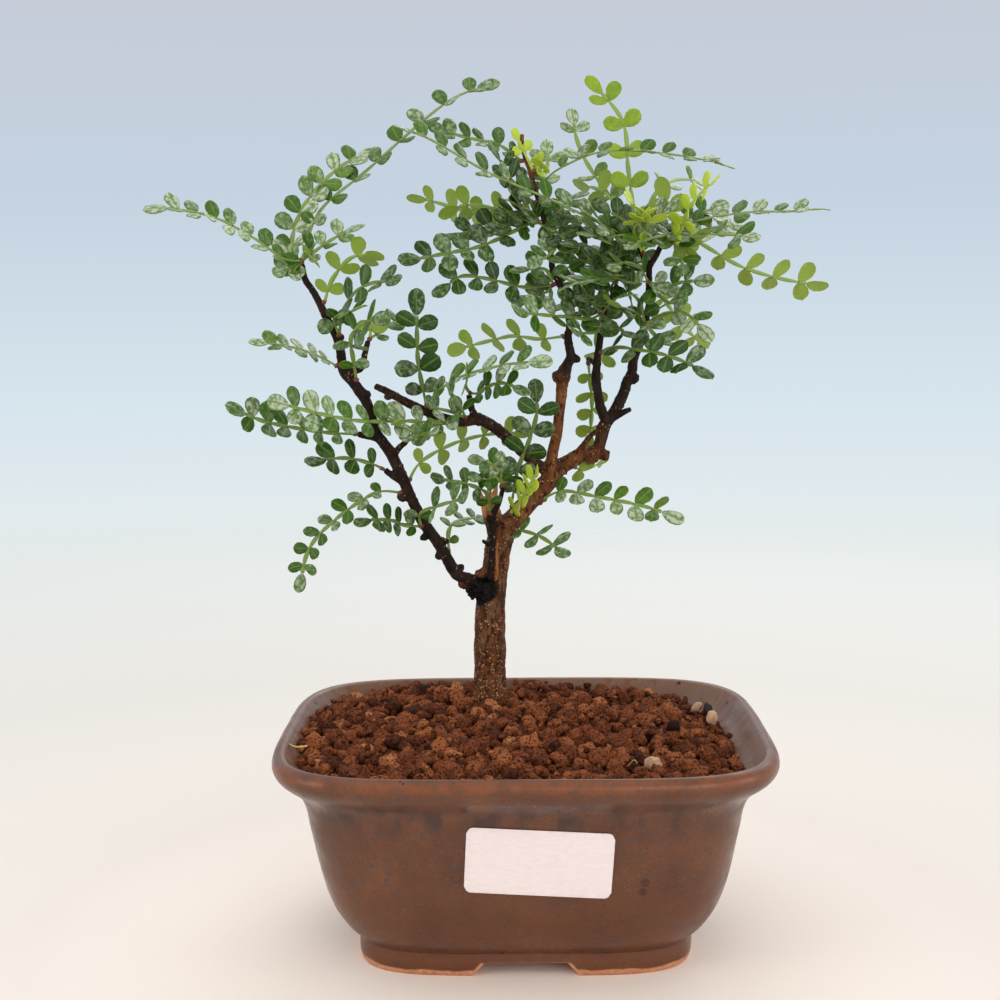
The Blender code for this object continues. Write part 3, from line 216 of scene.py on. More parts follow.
# Every spray of leaves: the wood that it grows on, the pixel of its bud, and its leaves. A leaf has the
# pixels of its stalk out to the tip, how far the tip lies behind its bud, how far its upper face is turned
# from the sky (0) to the viewer (90), its pairs of leaflets, their length and its tone.
SPRAYS = {
    "spray_left_tip": ("left", (302, 262), [
        ([(283, 258), (251, 236), (208, 215), (145, 205)], -16, 30, 7, 5.6, "light"),
        ([(291, 248), (303, 207), (337, 169), (377, 147)], 18, 45, 7, 6.0, "light"),
        ([(320, 211), (367, 170), (447, 102), (498, 83)], 26, 22, 8, 6.0, "green"),
        ([(322, 246), (343, 233), (363, 224)], 6, 40, 3, 5.4, "light"),
        ([(290, 269), (276, 272)], -8, 60, 2, 5.0, "light"),
        ([(306, 252), (316, 262)], -12, -60, 1, 4.5, "olive"),
        ([(292, 262), (283, 251), (277, 240)], 2, 50, 2, 5.4, "light"),
        ([(312, 248), (318, 238)], -8, 60, 1, 5.0, "light"),
    ]),
    "spray_left_high": ("left", (324, 302), [
        ([(331, 282), (343, 265), (356, 256), (383, 255)], -14, -55, 3, 5.6, "olive"),
    ]),
    "spray_left_upper": ("left", (339, 334), [
        ([(343, 311), (356, 291), (376, 282), (401, 281)], -28, 60, 4, 6.0, "dark"),
        ([(334, 318), (348, 312), (364, 308)], -22, 45, 2, 5.5, "green"),
    ]),
    "spray_left_outer": ("left", (341, 364), [
        ([(325, 359), (309, 352), (292, 347), (251, 340)], -14, 30, 5, 4.8, "light"),
    ]),
    "spray_left_front": ("left", (352, 381), [
        ([(353, 358), (351, 338), (362, 323), (385, 318)], -30, 75, 4, 5.8, "green"),
    ]),
    "spray_left_twig": ("left_twig", (368, 341), [
        ([(382, 331), (395, 322), (412, 316)], 16, 60, 3, 5.0, "green"),
        ([(371, 328), (372, 318)], 6, -60, 1, 4.5, "olive"),
    ]),
    "spray_left_long": ("left_stub_high", (358, 434), [
        ([(333, 433), (309, 430), (263, 421), (228, 405)], -26, 60, 6, 5.8, "green"),
    ]),
    "spray_left_knee": ("left_stub_middle", (385, 470), [
        ([(372, 464), (345, 458), (306, 462)], -16, 60, 3, 6.0, "dark"),
    ]),
    "spray_left_arch": ("left", (405, 490), [
        ([(375, 493), (336, 519), (309, 549), (299, 591)], -12, 45, 7, 4.8, "green"),
    ]),
    "spray_left_low": ("left", (422, 523), [
        ([(404, 525), (389, 520), (357, 520)], -16, 60, 4, 5.0, "dark"),
        ([(420, 514), (434, 507), (472, 496)], -22, 60, 3, 6.0, "green"),
    ]),
    "spray_left_behind": ("left", (405, 483), [
        ([(422, 461), (455, 443), (491, 434), (528, 432)], 32, -70, 5, 5.5, "olive"),
    ]),
    "spray_left_inner": ("left_stub_inner", (407, 441), [
        ([(420, 435), (440, 430)], -10, 65, 3, 4.8, "light"),
        ([(404, 428), (394, 424)], -14, 60, 1, 4.8, "light"),
    ]),
    "spray_left_deep": ("left", (445, 556), [
        ([(449, 530), (460, 520), (485, 517)], 20, 50, 4, 4.0, "green"),
    ]),
    "spray_level_front": ("level", (424, 411), [
        ([(422, 385), (418, 360), (417, 336), (416, 291)], -12, 88, 4, 6.8, "dark"),
        ([(438, 391), (462, 376), (503, 365), (550, 360)], -16, 32, 6, 6.2, "light"),
    ]),
    "spray_level_long": ("level", (447, 420), [
        ([(410, 421), (361, 421), (313, 412), (270, 400)], -40, 60, 8, 6.2, "light"),
        ([(432, 426), (416, 434), (402, 433)], -14, 55, 2, 5.0, "light"),
    ]),
    "spray_level_up": ("level_stub", (469, 394), [
        ([(479, 393), (487, 387), (503, 383), (528, 392)], -14, 60, 4, 5.2, "green"),
        ([(466, 386), (468, 372)], -16, 70, 1, 5.2, "dark"),
    ]),
    "spray_level_near": ("level", (464, 421), [
        ([(462, 409), (455, 397), (446, 386)], -26, 70, 2, 5.5, "green"),
        ([(452, 412), (438, 408), (426, 400)], -18, 65, 2, 5.5, "green"),
    ]),
    "spray_shoot_low": ("dead_shoot", (493, 514), [
        ([(487, 494), (470, 485), (446, 480), (431, 478)], -18, 65, 4, 5.0, "dark"),
    ]),
    "spray_shoot_high": ("dead_shoot", (503, 488), [
        ([(499, 472), (488, 462), (470, 460)], -6, 75, 4, 4.6, "green"),
        ([(508, 476), (516, 470)], 6, 60, 1, 5.0, "dark"),
        ([(496, 478), (484, 478), (470, 474)], -8, 60, 2, 4.8, "green"),
    ]),
    "spray_limb_face": ("limb", (519, 513), [
        ([(514, 490), (519, 466), (530, 438), (537, 410), (533, 381)], -14, 88, 5, 6.4, "dark"),
    ]),
    "spray_limb_low": ("limb", (509, 525), [
        ([(520, 530), (531, 533), (543, 538), (567, 555)], -28, 55, 3, 5.8, "green"),
    ]),
    "spray_limb_side": ("limb", (536, 495), [
        ([(563, 491), (599, 497), (643, 506), (682, 519)], -22, 50, 6, 6.0, "light"),
    ]),
    "spray_limb_back": ("limb", (572, 461), [
        ([(585, 470), (603, 461)], 20, -60, 2, 5.0, "olive"),
    ]),
    "spray_middle_deep": ("middle", (568, 336), [
        ([(539, 339), (515, 336), (497, 339), (450, 351)], 24, -65, 4, 6.0, "olive"),
    ]),
    "spray_hanging": ("hanging_twig", (588, 359), [
        ([(590, 380), (592, 405), (589, 449)], 14, -80, 4, 5.2, "olive"),
    ]),
    "spray_middle_arm": ("middle", (558, 283), [
        ([(523, 287), (489, 279), (459, 277), (436, 299)], -14, 60, 5, 6.0, "dark"),
        ([(574, 284), (590, 290)], 12, 60, 2, 5.6, "dark"),
        ([(546, 270), (530, 268), (512, 272)], -6, 55, 2, 5.8, "green"),
        ([(546, 292), (530, 298), (512, 300)], 6, 60, 3, 5.6, "green"),
    ]),
    "spray_middle_crown": ("middle", (544, 222), [
        ([(520, 224), (493, 221), (458, 209), (411, 195)], 26, -60, 5, 5.5, "pale"),
        ([(515, 215), (472, 205), (440, 214)], 4, -70, 3, 5.6, "olive"),
        ([(530, 224), (497, 226), (463, 233), (441, 239)], -6, 55, 4, 6.0, "dark"),
        ([(527, 225), (484, 245), (448, 253), (399, 262)], -18, 60, 6, 6.2, "dark"),
        ([(556, 214), (570, 200), (588, 196)], 10, 50, 3, 5.6, "green"),
        ([(556, 232), (567, 242), (574, 254)], -8, 60, 2, 5.8, "dark"),
        ([(532, 212), (518, 206), (503, 200)], -14, 55, 2, 5.8, "dark"),
        ([(530, 214), (512, 212), (494, 216)], -16, 60, 3, 5.8, "dark"),
        ([(556, 240), (548, 256), (530, 262)], -16, 60, 3, 5.6, "green"),
        ([(566, 226), (584, 228), (600, 236)], 6, 50, 3, 5.8, "green"),
        ([(532, 204), (522, 192), (506, 188)], 8, 60, 2, 5.6, "green"),
    ]),
    "spray_middle_high": ("middle", (539, 202), [
        ([(524, 194), (508, 174), (492, 143)], -12, 50, 4, 5.6, "dark"),
    ]),
    "spray_middle_right": ("middle", (535, 187), [
        ([(560, 168), (604, 151), (664, 153), (734, 165)], -8, 22, 8, 5.4, "green"),
        ([(545, 172), (548, 160), (546, 142)], 12, 75, 2, 5.4, "pale"),
    ]),
    "spray_middle_top": ("middle", (526, 160), [
        ([(498, 144), (479, 140), (458, 135), (429, 125)], -8, 50, 5, 5.0, "green"),
    ]),
    "spray_crown_left": ("limb_left", (617, 285), [
        ([(605, 262), (590, 247), (564, 240)], -16, 60, 3, 6.2, "dark"),
        ([(617, 268), (615, 257), (606, 243)], -6, 60, 2, 5.6, "dark"),
        ([(600, 268), (577, 259), (556, 260)], 2, 55, 3, 5.8, "green"),
        ([(622, 268), (634, 262), (648, 262)], 8, 50, 2, 5.4, "green"),
        ([(606, 292), (594, 297), (580, 295)], -20, 65, 2, 5.8, "dark"),
        ([(600, 270), (585, 262), (566, 268)], 12, 40, 3, 5.8, "dark"),
        ([(618, 262), (622, 244), (618, 226)], 6, 55, 3, 5.8, "green"),
        ([(596, 280), (574, 276), (556, 284)], 22, 50, 3, 5.6, "olive"),
        ([(630, 274), (640, 256), (644, 238)], 14, 60, 2, 5.6, "dark"),
    ]),
    "spray_crown_low": ("limb_left", (604, 315), [
        ([(589, 319), (569, 317), (544, 315), (511, 311)], -24, 60, 4, 6.4, "green"),
        ([(592, 303), (577, 297), (558, 296)], -10, 60, 3, 5.8, "dark"),
        ([(598, 330), (586, 333), (570, 331)], -22, 65, 2, 5.8, "green"),
        ([(612, 322), (623, 331), (635, 335)], -14, 60, 2, 5.8, "dark"),
        ([(590, 310), (570, 304), (552, 312)], 8, 40, 3, 5.8, "green"),
        ([(612, 302), (624, 294), (634, 300)], -20, 60, 2, 5.8, "green"),
        ([(596, 340), (600, 352), (612, 362)], 14, -60, 2, 5.4, "olive"),
    ]),
    "spray_crown_side": ("limb_left", (598, 352), [
        ([(613, 347), (640, 350), (672, 357), (711, 374)], -32, 60, 5, 6.5, "dark"),
    ]),
    "spray_right_low": ("limb_right", (645, 323), [
        ([(659, 317), (671, 313), (687, 314), (711, 339)], -14, 60, 3, 6.0, "light"),
        ([(634, 311), (610, 305)], -30, 60, 2, 6.0, "dark"),
        ([(640, 303), (630, 292), (619, 283)], -18, 70, 2, 5.8, "dark"),
        ([(654, 334), (664, 342), (678, 340)], -10, 60, 2, 5.6, "green"),
    ]),
    "spray_right_back": ("limb_right", (649, 296), [
        ([(664, 300), (683, 326), (708, 349)], 28, -65, 4, 6.0, "olive"),
    ]),
    "spray_right_arm": ("limb_right", (649, 281), [
        ([(625, 279), (603, 279), (560, 286)], -32, 25, 6, 6.2, "green"),
        ([(668, 286), (683, 282), (712, 280)], -12, 65, 3, 5.8, "light"),
        ([(640, 268), (628, 262), (612, 266)], -24, 50, 2, 5.8, "green"),
        ([(658, 294), (669, 302), (684, 304)], -20, 60, 2, 5.6, "green"),
    ]),
    "spray_crown_back": ("tip_left", (639, 243), [
        ([(610, 228), (559, 203), (492, 174), (430, 139), (394, 126)], -34, 34, 10, 6.0, "green"),
        ([(634, 215), (628, 167), (622, 120), (588, 78)], 14, 60, 5, 6.2, "bright"),
        ([(618, 208), (590, 168), (577, 140), (572, 110)], 32, 80, 5, 5.6, "pale"),
        ([(608, 196), (577, 183)], 18, -70, 1, 7.0, "olive"),
        ([(654, 196), (675, 180), (702, 181)], 38, 70, 3, 5.0, "pale"),
        ([(628, 234), (606, 237), (580, 232)], -20, 45, 3, 6.0, "green"),
        ([(630, 226), (612, 213), (592, 205)], -6, 55, 3, 6.0, "dark"),
        ([(650, 234), (668, 226), (686, 216)], 10, 50, 2, 5.6, "green"),
        ([(620, 240), (602, 224), (584, 212)], -18, 50, 4, 6.0, "green"),
        ([(646, 226), (660, 214), (682, 206)], -10, 45, 3, 5.8, "light"),
        ([(622, 250), (604, 252), (588, 244)], 16, 60, 3, 5.8, "dark"),
    ]),
    "spray_right_crown": ("tip_right", (672, 231), [
        ([(699, 220), (747, 212), (791, 211), (828, 207)], -6, 26, 6, 6.0, "light"),
        ([(696, 237), (718, 234), (757, 237)], -28, 60, 3, 5.8, "light"),
        ([(700, 243), (740, 266), (782, 279), (826, 286)], 20, -55, 5, 6.4, "bright"),
        ([(668, 205), (660, 180)], 4, -70, 1, 6.5, "olive"),
        ([(660, 236), (644, 240), (628, 246)], -22, 50, 3, 5.8, "green"),
        ([(684, 244), (690, 254), (690, 264)], -6, -60, 1, 5.8, "olive"),
        ([(684, 222), (702, 212), (728, 206)], 8, 40, 3, 5.8, "light"),
        ([(690, 234), (712, 228), (744, 224)], 14, 50, 4, 5.6, "light"),
        ([(676, 248), (682, 262), (676, 276)], -12, 60, 2, 5.6, "green"),
    ]),
    "young_limb": ("limb", (514, 518), [
        ([(513, 509), (523, 497), (540, 467)], -20, 55, 5, 4.6, "young"),
    ]),
    "young_top": ("middle", (531, 173), [
        ([(541, 168), (541, 153)], -6, 60, 2, 3.6, "young"),
        ([(524, 152), (519, 142), (516, 129)], -4, 60, 1, 3.4, "young"),
    ]),
    "young_crown": ("tip_left", (642, 254), [
        ([(634, 232), (639, 215), (628, 193)], -26, 55, 3, 5.4, "young"),
        ([(646, 234), (650, 205)], -26, 60, 1, 6.0, "young"),
    ]),
    "young_right": ("tip_right", (664, 241), [
        ([(680, 232), (690, 206), (718, 175)], -26, 55, 5, 4.8, "young"),
    ]),
}
# Pebbles: pixel across, pixel down, height, radius, 0 black to 1 tan. Straw: its route and radius.
PEBBLES = [
    (696, 708, 59.5, 2.1, 0.75), (708, 709, 59.5, 2.2, 0.02), (712, 718, 59.5, 2.3, 1.0),
    (653, 764, 59.5, 2.5, 0.8),
]
# Single grains that stand out: pixel across, pixel down, height, radius, tone.
LIGHT_GRAINS = [
    (493, 707, 61.5, 3.1, 0.95), (483, 699, 61.5, 2.0, 0.2), (529, 743, 60.5, 2.9, 0.85),
    (388, 762, 59.0, 3.0, 0.9), (425, 728, 60.0, 2.8, 0.8), (674, 727, 60.0, 2.2, 0.0),
    (620, 758, 60.0, 3.1, 0.6), (596, 738, 60.5, 2.8, 0.55),
]
STRAW = [
    ([(288, 744, 60), (297, 747, 61.5), (307, 746, 62)], 0.28),
    ([(628, 766, 61), (634, 760, 64), (637, 763, 63)], 0.16),
]

# How light a leaf is, and how strong the painted glare on its top is: pale patches laid into the colour to
# stand in for reflections of the sky.
TONES = {
    "dark": (0.15, 0.50), "green": (0.36, 0.70), "light": (0.46, 1.1), "pale": (0.56, 1.2),
    "olive": (0.75, 0.1), "bright": (0.95, 0.2), "young": (1.0, 0.0),
}

# How a leaf is laid out. Shares of a leaflet's length, unless another measure is given.
BUD = 1.0
LEAFLET_WIDTH = 0.74
LEAFLET_GROWN = 1.05
END_BACK = 1.05
END_LEAFLET = 1.16
END_NARROW = 0.84
FIRST_PAIR = 0.78
PAIR_BACK = 0.42
BARE_SHARE = 0.16
BARE_LEAST = 2.4
ONLY_PAIR = 0.72
LEAN_AHEAD = 0.55
LEAN_UP = 0.32
LEAFLET_ROWS = 12
LEAFLET_COLUMNS = 7
LEAFLET_THICK = 0.24
# Steps of painted glare, one drawn for each leaflet.
PAINTED_GLARE_STEPS = (0.2, 0.4, 0.6, 0.8, 1.0, 1.2)

# The background's colours behind the object by height, from below the horizon to overhead.
BACKGROUND = [
    (0.03, (0.93, 0.86, 0.80)), (0.14, (0.93, 0.88, 0.835)), (0.257, (0.838, 0.871, 0.855)),
    (0.378, (0.68, 0.783, 0.85)), (0.497, (0.56, 0.655, 0.76)), (0.62, (0.56, 0.595, 0.68)),
    (1.0, (0.95, 0.94, 0.92)),
]
ROOM = (0.74, 0.69, 0.65)  # the background's colour behind the camera, where it only lights the object

# Lamps that point at the tree: name, place and size in metres, watts.
LIGHTS = [
    ("key", (-0.30, -0.30, 0.95), (1.2, 1.2), 2.3),
    ("front", (0.50, -1.05, 0.38), (0.8, 0.5), 3.5),
    ("left", (-0.95, -0.45, 0.35), (0.5, 0.5), 2.2),
    ("right", (0.95, -0.30, 0.35), (0.5, 0.5), 1.9),
    ("back", (0.25, 0.75, 0.75), (0.8, 0.6), 2.2),
]


class Shape:
    """A mesh that grows piece by piece: points in metres, faces, and named values at the points."""

    def __init__(self):
        self.points = []
        self.faces = []
        self.looks = []
        self.values = {}
        self.count = 0

    def add(self, points, faces, look=0, **values):
        """Add points and arrays of faces; each value is one number, or one number a point."""
        for group in faces:
            group = np.asarray(group)
            self.faces.append(group + self.count)
            self.looks.append(np.full(len(group), look))
        for key, value in values.items():
            self.values.setdefault(key, []).append(np.broadcast_to(value, len(points)))
        self.points.append(np.asarray(points, float))
        self.count += len(points)

    def build(self, name, looks):
        """The finished object."""
        points = np.concatenate(self.points)
        sizes = np.concatenate([np.full(len(group), group.shape[1]) for group in self.faces])
        corners = np.concatenate([group.ravel() for group in self.faces])
        mesh = bpy.data.meshes.new(name)
        mesh.vertices.add(len(points))
        mesh.vertices.foreach_set("co", points.astype(np.float32).ravel())
        mesh.loops.add(len(corners))
        mesh.loops.foreach_set("vertex_index", corners.astype(np.int32))
        mesh.polygons.add(len(sizes))
        mesh.polygons.foreach_set("loop_start", (np.cumsum(sizes) - sizes).astype(np.int32))
        for look in looks:
            mesh.materials.append(look)
        mesh.polygons.foreach_set("material_index", np.concatenate(self.looks).astype(np.int32))
        for key, parts in self.values.items():
            set_value(mesh, key, np.concatenate(parts))
        mesh.update(calc_edges=True)
        mesh.validate()
        mesh.shade_smooth()
        made = bpy.data.objects.new(name, mesh)
        bpy.context.scene.collection.objects.link(made)
        return made


def fill_ramp(node, stops):
    """Give a colour ramp its stops of (position, colour)."""
    elements = node.color_ramp.elements
    while len(elements) < len(stops):
        elements.new(0.5)
    for element, (position, colour) in zip(elements, stops):
        element.position = position
        element.color = (*colour, 1)


def set_value(mesh, key, numbers):
    """Store one number a point on a mesh, for its material."""
    attribute = mesh.attributes.new(key, "FLOAT", "POINT")
    attribute.data.foreach_set("value", np.asarray(numbers, np.float32))


def place(piece, slot, *nodes):
    """Let a piece ride with the root body and hide the parts it stands for; its slot, the finish, is not
    used.
    """
    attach(piece, "root")
    if nodes:
        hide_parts(*nodes)


def baked(thing):
    """Apply the object's modifiers to its mesh."""
    bpy.context.view_layer.update()
    mesh = bpy.data.meshes.new_from_object(thing.evaluated_get(bpy.context.evaluated_depsgraph_get()))
    thing.modifiers.clear()
    thing.data = mesh
    return mesh


def camera_axes():
    """The photograph's directions to the right, up and into the picture."""
    right = Vector((math.cos(CAMERA_YAW), math.sin(CAMERA_YAW), 0))
    level = Vector((-math.sin(CAMERA_YAW), math.cos(CAMERA_YAW), 0))
    ahead = level * math.cos(CAMERA_PITCH) - UP * math.sin(CAMERA_PITCH)
    above = level * math.sin(CAMERA_PITCH) + UP * math.cos(CAMERA_PITCH)
    turned = right * math.cos(CAMERA_ROLL) + above * math.sin(CAMERA_ROLL)
    return turned, above * math.cos(CAMERA_ROLL) - right * math.sin(CAMERA_ROLL), ahead


CAMERA_PLACE = Vector((CAMERA_X, -CAMERA_DISTANCE, CAMERA_HEIGHT)) + POT_MIDDLE


def photo_ray(across, down):
    """The direction in which a pixel of the photograph looks."""
    right, above, ahead = camera_axes()
    return ahead + (right * (across - PICTURE_MIDDLE) - above * (down - PICTURE_MIDDLE)) / FOCAL


def photo_point(across, down, behind):
    """The point, in metres, that shows at a pixel and lies this far behind the pot's middle."""
    ray = photo_ray(across, down)
    return (CAMERA_PLACE + ray * ((behind + CAMERA_DISTANCE) / ray.y)) * MM


def level_point(across, down, height):
    """The point, in metres, that shows at a pixel and lies at this height."""
    ray = photo_ray(across, down)
    return (CAMERA_PLACE + ray * ((height - CAMERA_HEIGHT) / ray.z)) * MM


def smooth_route(points, steps=8):
    """A Catmull-Rom curve through points of any size, as a list of close points."""
    ends = [points[0] * 2 - points[1]] + list(points) + [points[-1] * 2 - points[-2]]
    curve = []
    for before, start, end, after in zip(ends, ends[1:], ends[2:], ends[3:]):
        for step in range(steps):
            t = step / steps
            curve.append(
                0.5 * (2 * start + (end - before) * t + (2 * before - 5 * start + 4 * end - after) * t**2
                       + (3 * start - before - 3 * end + after) * t**3)
            )
    curve.append(points[-1])
    return curve


def ease(value, low, high):
    """A smooth step from 0 at the low bound to 1 at the high one."""
    share = min(1.0, max(0.0, (value - low) / (high - low)))
    return share * share * (3 - 2 * share)


def read_steps(steps, share):
    """The value of a list of (share, value) steps, read between them."""
    return float(np.interp(share, [step[0] for step in steps], [step[1] for step in steps]))


# Materials. Noise scales are given as the size of a feature in millimetres.


class Look:
    """A material with a Principled BSDF, whose nodes are added by short calls."""

    def __init__(self, name, roughness=0.5, **settings):
        self.material = bpy.data.materials.new(name)
        self.material.use_nodes = True
        self.tree = self.material.node_tree
        self.shader = self.tree.nodes["Principled BSDF"]
        self.shader.inputs["Roughness"].default_value = roughness
        for key, value in settings.items():
            self.shader.inputs[key.replace("_", " ")].default_value = value
        self.place = self.node("ShaderNodeTexCoord").outputs["Object"]

    def node(self, kind, inputs=None, **settings):
        """A new node with its settings, and its inputs joined or set."""
        made = self.tree.nodes.new(kind)
        for key, value in settings.items():
            setattr(made, key, value)
        for key, value in (inputs or {}).items():
            if isinstance(value, bpy.types.NodeSocket):
                self.tree.links.new(value, made.inputs[key])
            else:
                made.inputs[key].default_value = value
        return made

    def value(self, name):
        """A value stored at the mesh's points."""
        return self.node("ShaderNodeAttribute", attribute_name=name).outputs["Fac"]

    def noise(self, size, detail=3.0, stretch=(1, 1, 1)):
        """Soft noise with features of a size, between 0 and 1."""
        where = self.node("ShaderNodeMapping", {"Vector": self.place, "Scale": stretch}).outputs["Vector"]
        inputs = {"Vector": where, "Scale": 1 / (size * MM), "Detail": detail}
        return self.node("ShaderNodeTexNoise", inputs).outputs["Fac"]

    def cells(self, size):
        """Distance to the nearest of many scattered points, 0 to about 1."""
        inputs = {"Vector": self.place, "Scale": 1 / (size * MM)}
        return self.node("ShaderNodeTexVoronoi", inputs).outputs["Distance"]

    def maths(self, operation, first, second=0.0):
        """An arithmetic node."""
        made = self.node("ShaderNodeMath", {0: first, 1: second}, operation=operation)
        return made.outputs[0]

    def between(self, value, low, high):
        """A value spread from 0 at the low bound to 1 at the high one."""
        inputs = {"Value": value, "From Min": low, "From Max": high}
        return self.node("ShaderNodeMapRange", inputs, interpolation_type="SMOOTHSTEP").outputs["Result"]

    def ramp(self, value, *stops):
        """Colours by value: stops of (position, colour)."""
        made = self.node("ShaderNodeValToRGB", {"Fac": value})
        fill_ramp(made, stops)
        return made.outputs["Color"]

    def mix(self, share, first, second, blend="MIX"):
        """Two colours mixed by a share."""
        first = first if isinstance(first, bpy.types.NodeSocket) else (*first, 1)
        second = second if isinstance(second, bpy.types.NodeSocket) else (*second, 1)
        inputs = {0: share, 6: first, 7: second}
        return self.node("ShaderNodeMix", inputs, data_type="RGBA", blend_type=blend).outputs[2]

    def over(self, body, share, strength, colour):
        """A colour laid over another by a share of its full strength."""
        return self.mix(self.maths("MULTIPLY", share, strength), body, colour)

    def veins(self, off):
        """Side veins that run forward from a leaflet's midrib, as a height."""
        forward = self.maths("SUBTRACT", self.value("along"), self.maths("MULTIPLY", off, 0.35))
        where = self.node("ShaderNodeCombineXYZ", {"X": forward, "Y": 0.0, "Z": 0.0}).outputs["Vector"]
        inputs = {"Vector": where, "Scale": 2.4, "Distortion": 0.6}
        return self.node("ShaderNodeTexWave", inputs).outputs["Fac"]

    def near(self, point, radius, ragged=0.4):
        """1 within a radius in millimetres of a point in metres, with a ragged edge, and 0 beyond."""
        apart = self.node("ShaderNodeVectorMath", {0: self.place, 1: point}, operation="DISTANCE")
        away = apart.outputs["Value"]
        away = self.maths("ADD", away, self.maths("MULTIPLY", self.noise(radius * 0.6), radius * ragged * MM))
        return self.between(away, radius * (1 + ragged / 2) * MM, radius * (0.8 + ragged / 2) * MM)

    def bump(self, height, strength, depth):
        """Relief from a height, as deep as depth in millimetres; bumps are chained."""
        inputs = {"Height": height, "Strength": strength, "Distance": depth * MM}
        before = self.shader.inputs["Normal"]
        if before.is_linked:
            inputs["Normal"] = before.links[0].from_socket
        made = self.node("ShaderNodeBump", inputs)
        self.tree.links.new(made.outputs["Normal"], before)

    def colour(self, socket):
        """Give the shader its base colour."""
        self.tree.links.new(socket, self.shader.inputs["Base Color"])

    def gloss(self, socket):
        """Give the shader its roughness."""
        self.tree.links.new(socket, self.shader.inputs["Roughness"])


def glaze_look(chips, blots):
    """Brown glaze, redder where it is thin and darker, greyer in streaky bands below the rim's flare and
    above the foot, with chips; bare clay at the feet.
    """
    look = Look("pot_glaze", IOR=1.36, Coat_Weight=0.08, Coat_Roughness=0.15)
    cloud = look.noise(15, 4)
    body = look.ramp(
        cloud, (0.3, (0.090, 0.032, 0.014)), (0.52, (0.125, 0.044, 0.018)), (0.75, (0.165, 0.062, 0.026)),
    )
    grain = look.between(look.noise(0.7, 4), 0.5, 0.62)
    body = look.over(body, grain, 0.6, (0.068, 0.042, 0.036))
    blue = look.between(look.noise(1.3, 4), 0.55, 0.63)
    body = look.over(body, blue, 0.6, (0.066, 0.050, 0.052))
    rust = look.between(look.noise(1.1, 4), 0.6, 0.68)
    body = look.over(body, rust, 0.5, (0.20, 0.062, 0.022))
    # Darker, greyer streaky bands below the rim's flare and just above the foot.
    streaks = look.between(look.noise(5, 4, (1, 1, 0.3)), 0.42, 0.66)
    pooled = look.maths("MULTIPLY", look.value("pooled"), streaks)
    body = look.over(body, pooled, 0.85, (0.040, 0.027, 0.027))
    thin = look.maths("MULTIPLY", look.value("thin"), look.between(look.noise(4, 3), 0.25, 0.6))
    body = look.over(body, thin, 0.75, (0.22, 0.066, 0.022))
    low = look.maths("MULTIPLY", look.value("low"), look.between(look.noise(3, 4), 0.3, 0.6))
    body = look.over(body, low, 0.55, (0.125, 0.036, 0.010))
    inner = look.value("inner")
    body = look.over(body, inner, 0.75, (0.185, 0.112, 0.082))
    drips = look.maths("MULTIPLY", inner, look.between(look.noise(4, 4, (1, 1, 0.25)), 0.52, 0.66))
    body = look.over(body, drips, 0.7, (0.16, 0.050, 0.018))
    dots = look.between(look.cells(1.5), 0.16, 0.1)
    body = look.over(body, dots, 0.6, (0.018, 0.011, 0.010))
    for place, radius in chips:
        body = look.over(body, look.near(place, radius), 0.9, (0.012, 0.008, 0.007))
    for place, radius in blots:
        body = look.over(body, look.near(place, radius), 0.7, (0.055, 0.014, 0.008))
    where = look.node("ShaderNodeSeparateXYZ", {"Vector": look.place}).outputs
    height = where["Z"]
    edge = look.maths("ADD", height, look.maths("MULTIPLY", look.noise(6, 3), 1.6 * MM))
    foot = look.between(edge, BARE_FOOT * MM, (BARE_FOOT - 0.6) * MM)
    beside = look.maths("ABSOLUTE", look.maths("SUBTRACT", where["X"], POT_MIDDLE.x * MM))
    slant = look.maths("ADD", beside, look.maths("MULTIPLY", height, RECESS_SLANT / (RECESS_HEIGHT + 1)))
    recess = look.maths(
        "MULTIPLY", look.between(slant, BARE_RECESS * MM, (BARE_RECESS - 0.5) * MM),
        look.between(height, (RECESS_HEIGHT + 0.3) * MM, (RECESS_HEIGHT - 0.3) * MM),
    )
    bare = look.maths("MAXIMUM", foot, recess)
    clay = look.ramp(look.noise(1.2, 4), (0.3, (0.42, 0.17, 0.080)), (0.7, (0.60, 0.27, 0.14)))
    look.colour(look.mix(bare, body, clay))
    rough = look.ramp(look.noise(7, 4), (0.35, (0.24,) * 3), (0.7, (0.46,) * 3))
    look.gloss(look.mix(bare, rough, (0.85,) * 3))
    look.bump(look.noise(2.2, 3), 0.25, 0.25)
    look.bump(look.noise(0.6, 2), 0.15, 0.12)
    return look.material


def soil_look():
    """Porous red-brown grains, each with a shade of its own, and near-black spots of painted shade where
    small pits would be.
    """
    look = Look("soil_grains", 0.95, Specular_IOR_Level=0.12)
    tone = look.maths("ADD", look.value("tone"), look.maths("MULTIPLY", look.noise(1.5, 5), 0.6))
    tone = look.maths("SUBTRACT", tone, 0.3)
    body = look.ramp(
        tone, (0.0, (0.022, 0.008, 0.005)), (0.25, (0.095, 0.027, 0.011)), (0.55, (0.195, 0.058, 0.023)),
        (0.85, (0.32, 0.108, 0.040)), (1.0, (0.45, 0.19, 0.08)),
    )
    # Near-black spots: painted shade of small pits that the mesh doesn't have.
    painted_pit_shade = look.between(look.noise(0.7, 5), 0.49, 0.39)
    look.colour(look.over(body, painted_pit_shade, 0.85, (0.012, 0.004, 0.003)))
    look.bump(look.noise(1.2, 5), 1.0, 0.7)
    look.bump(look.noise(0.35, 3), 0.8, 0.25)
    return look.material


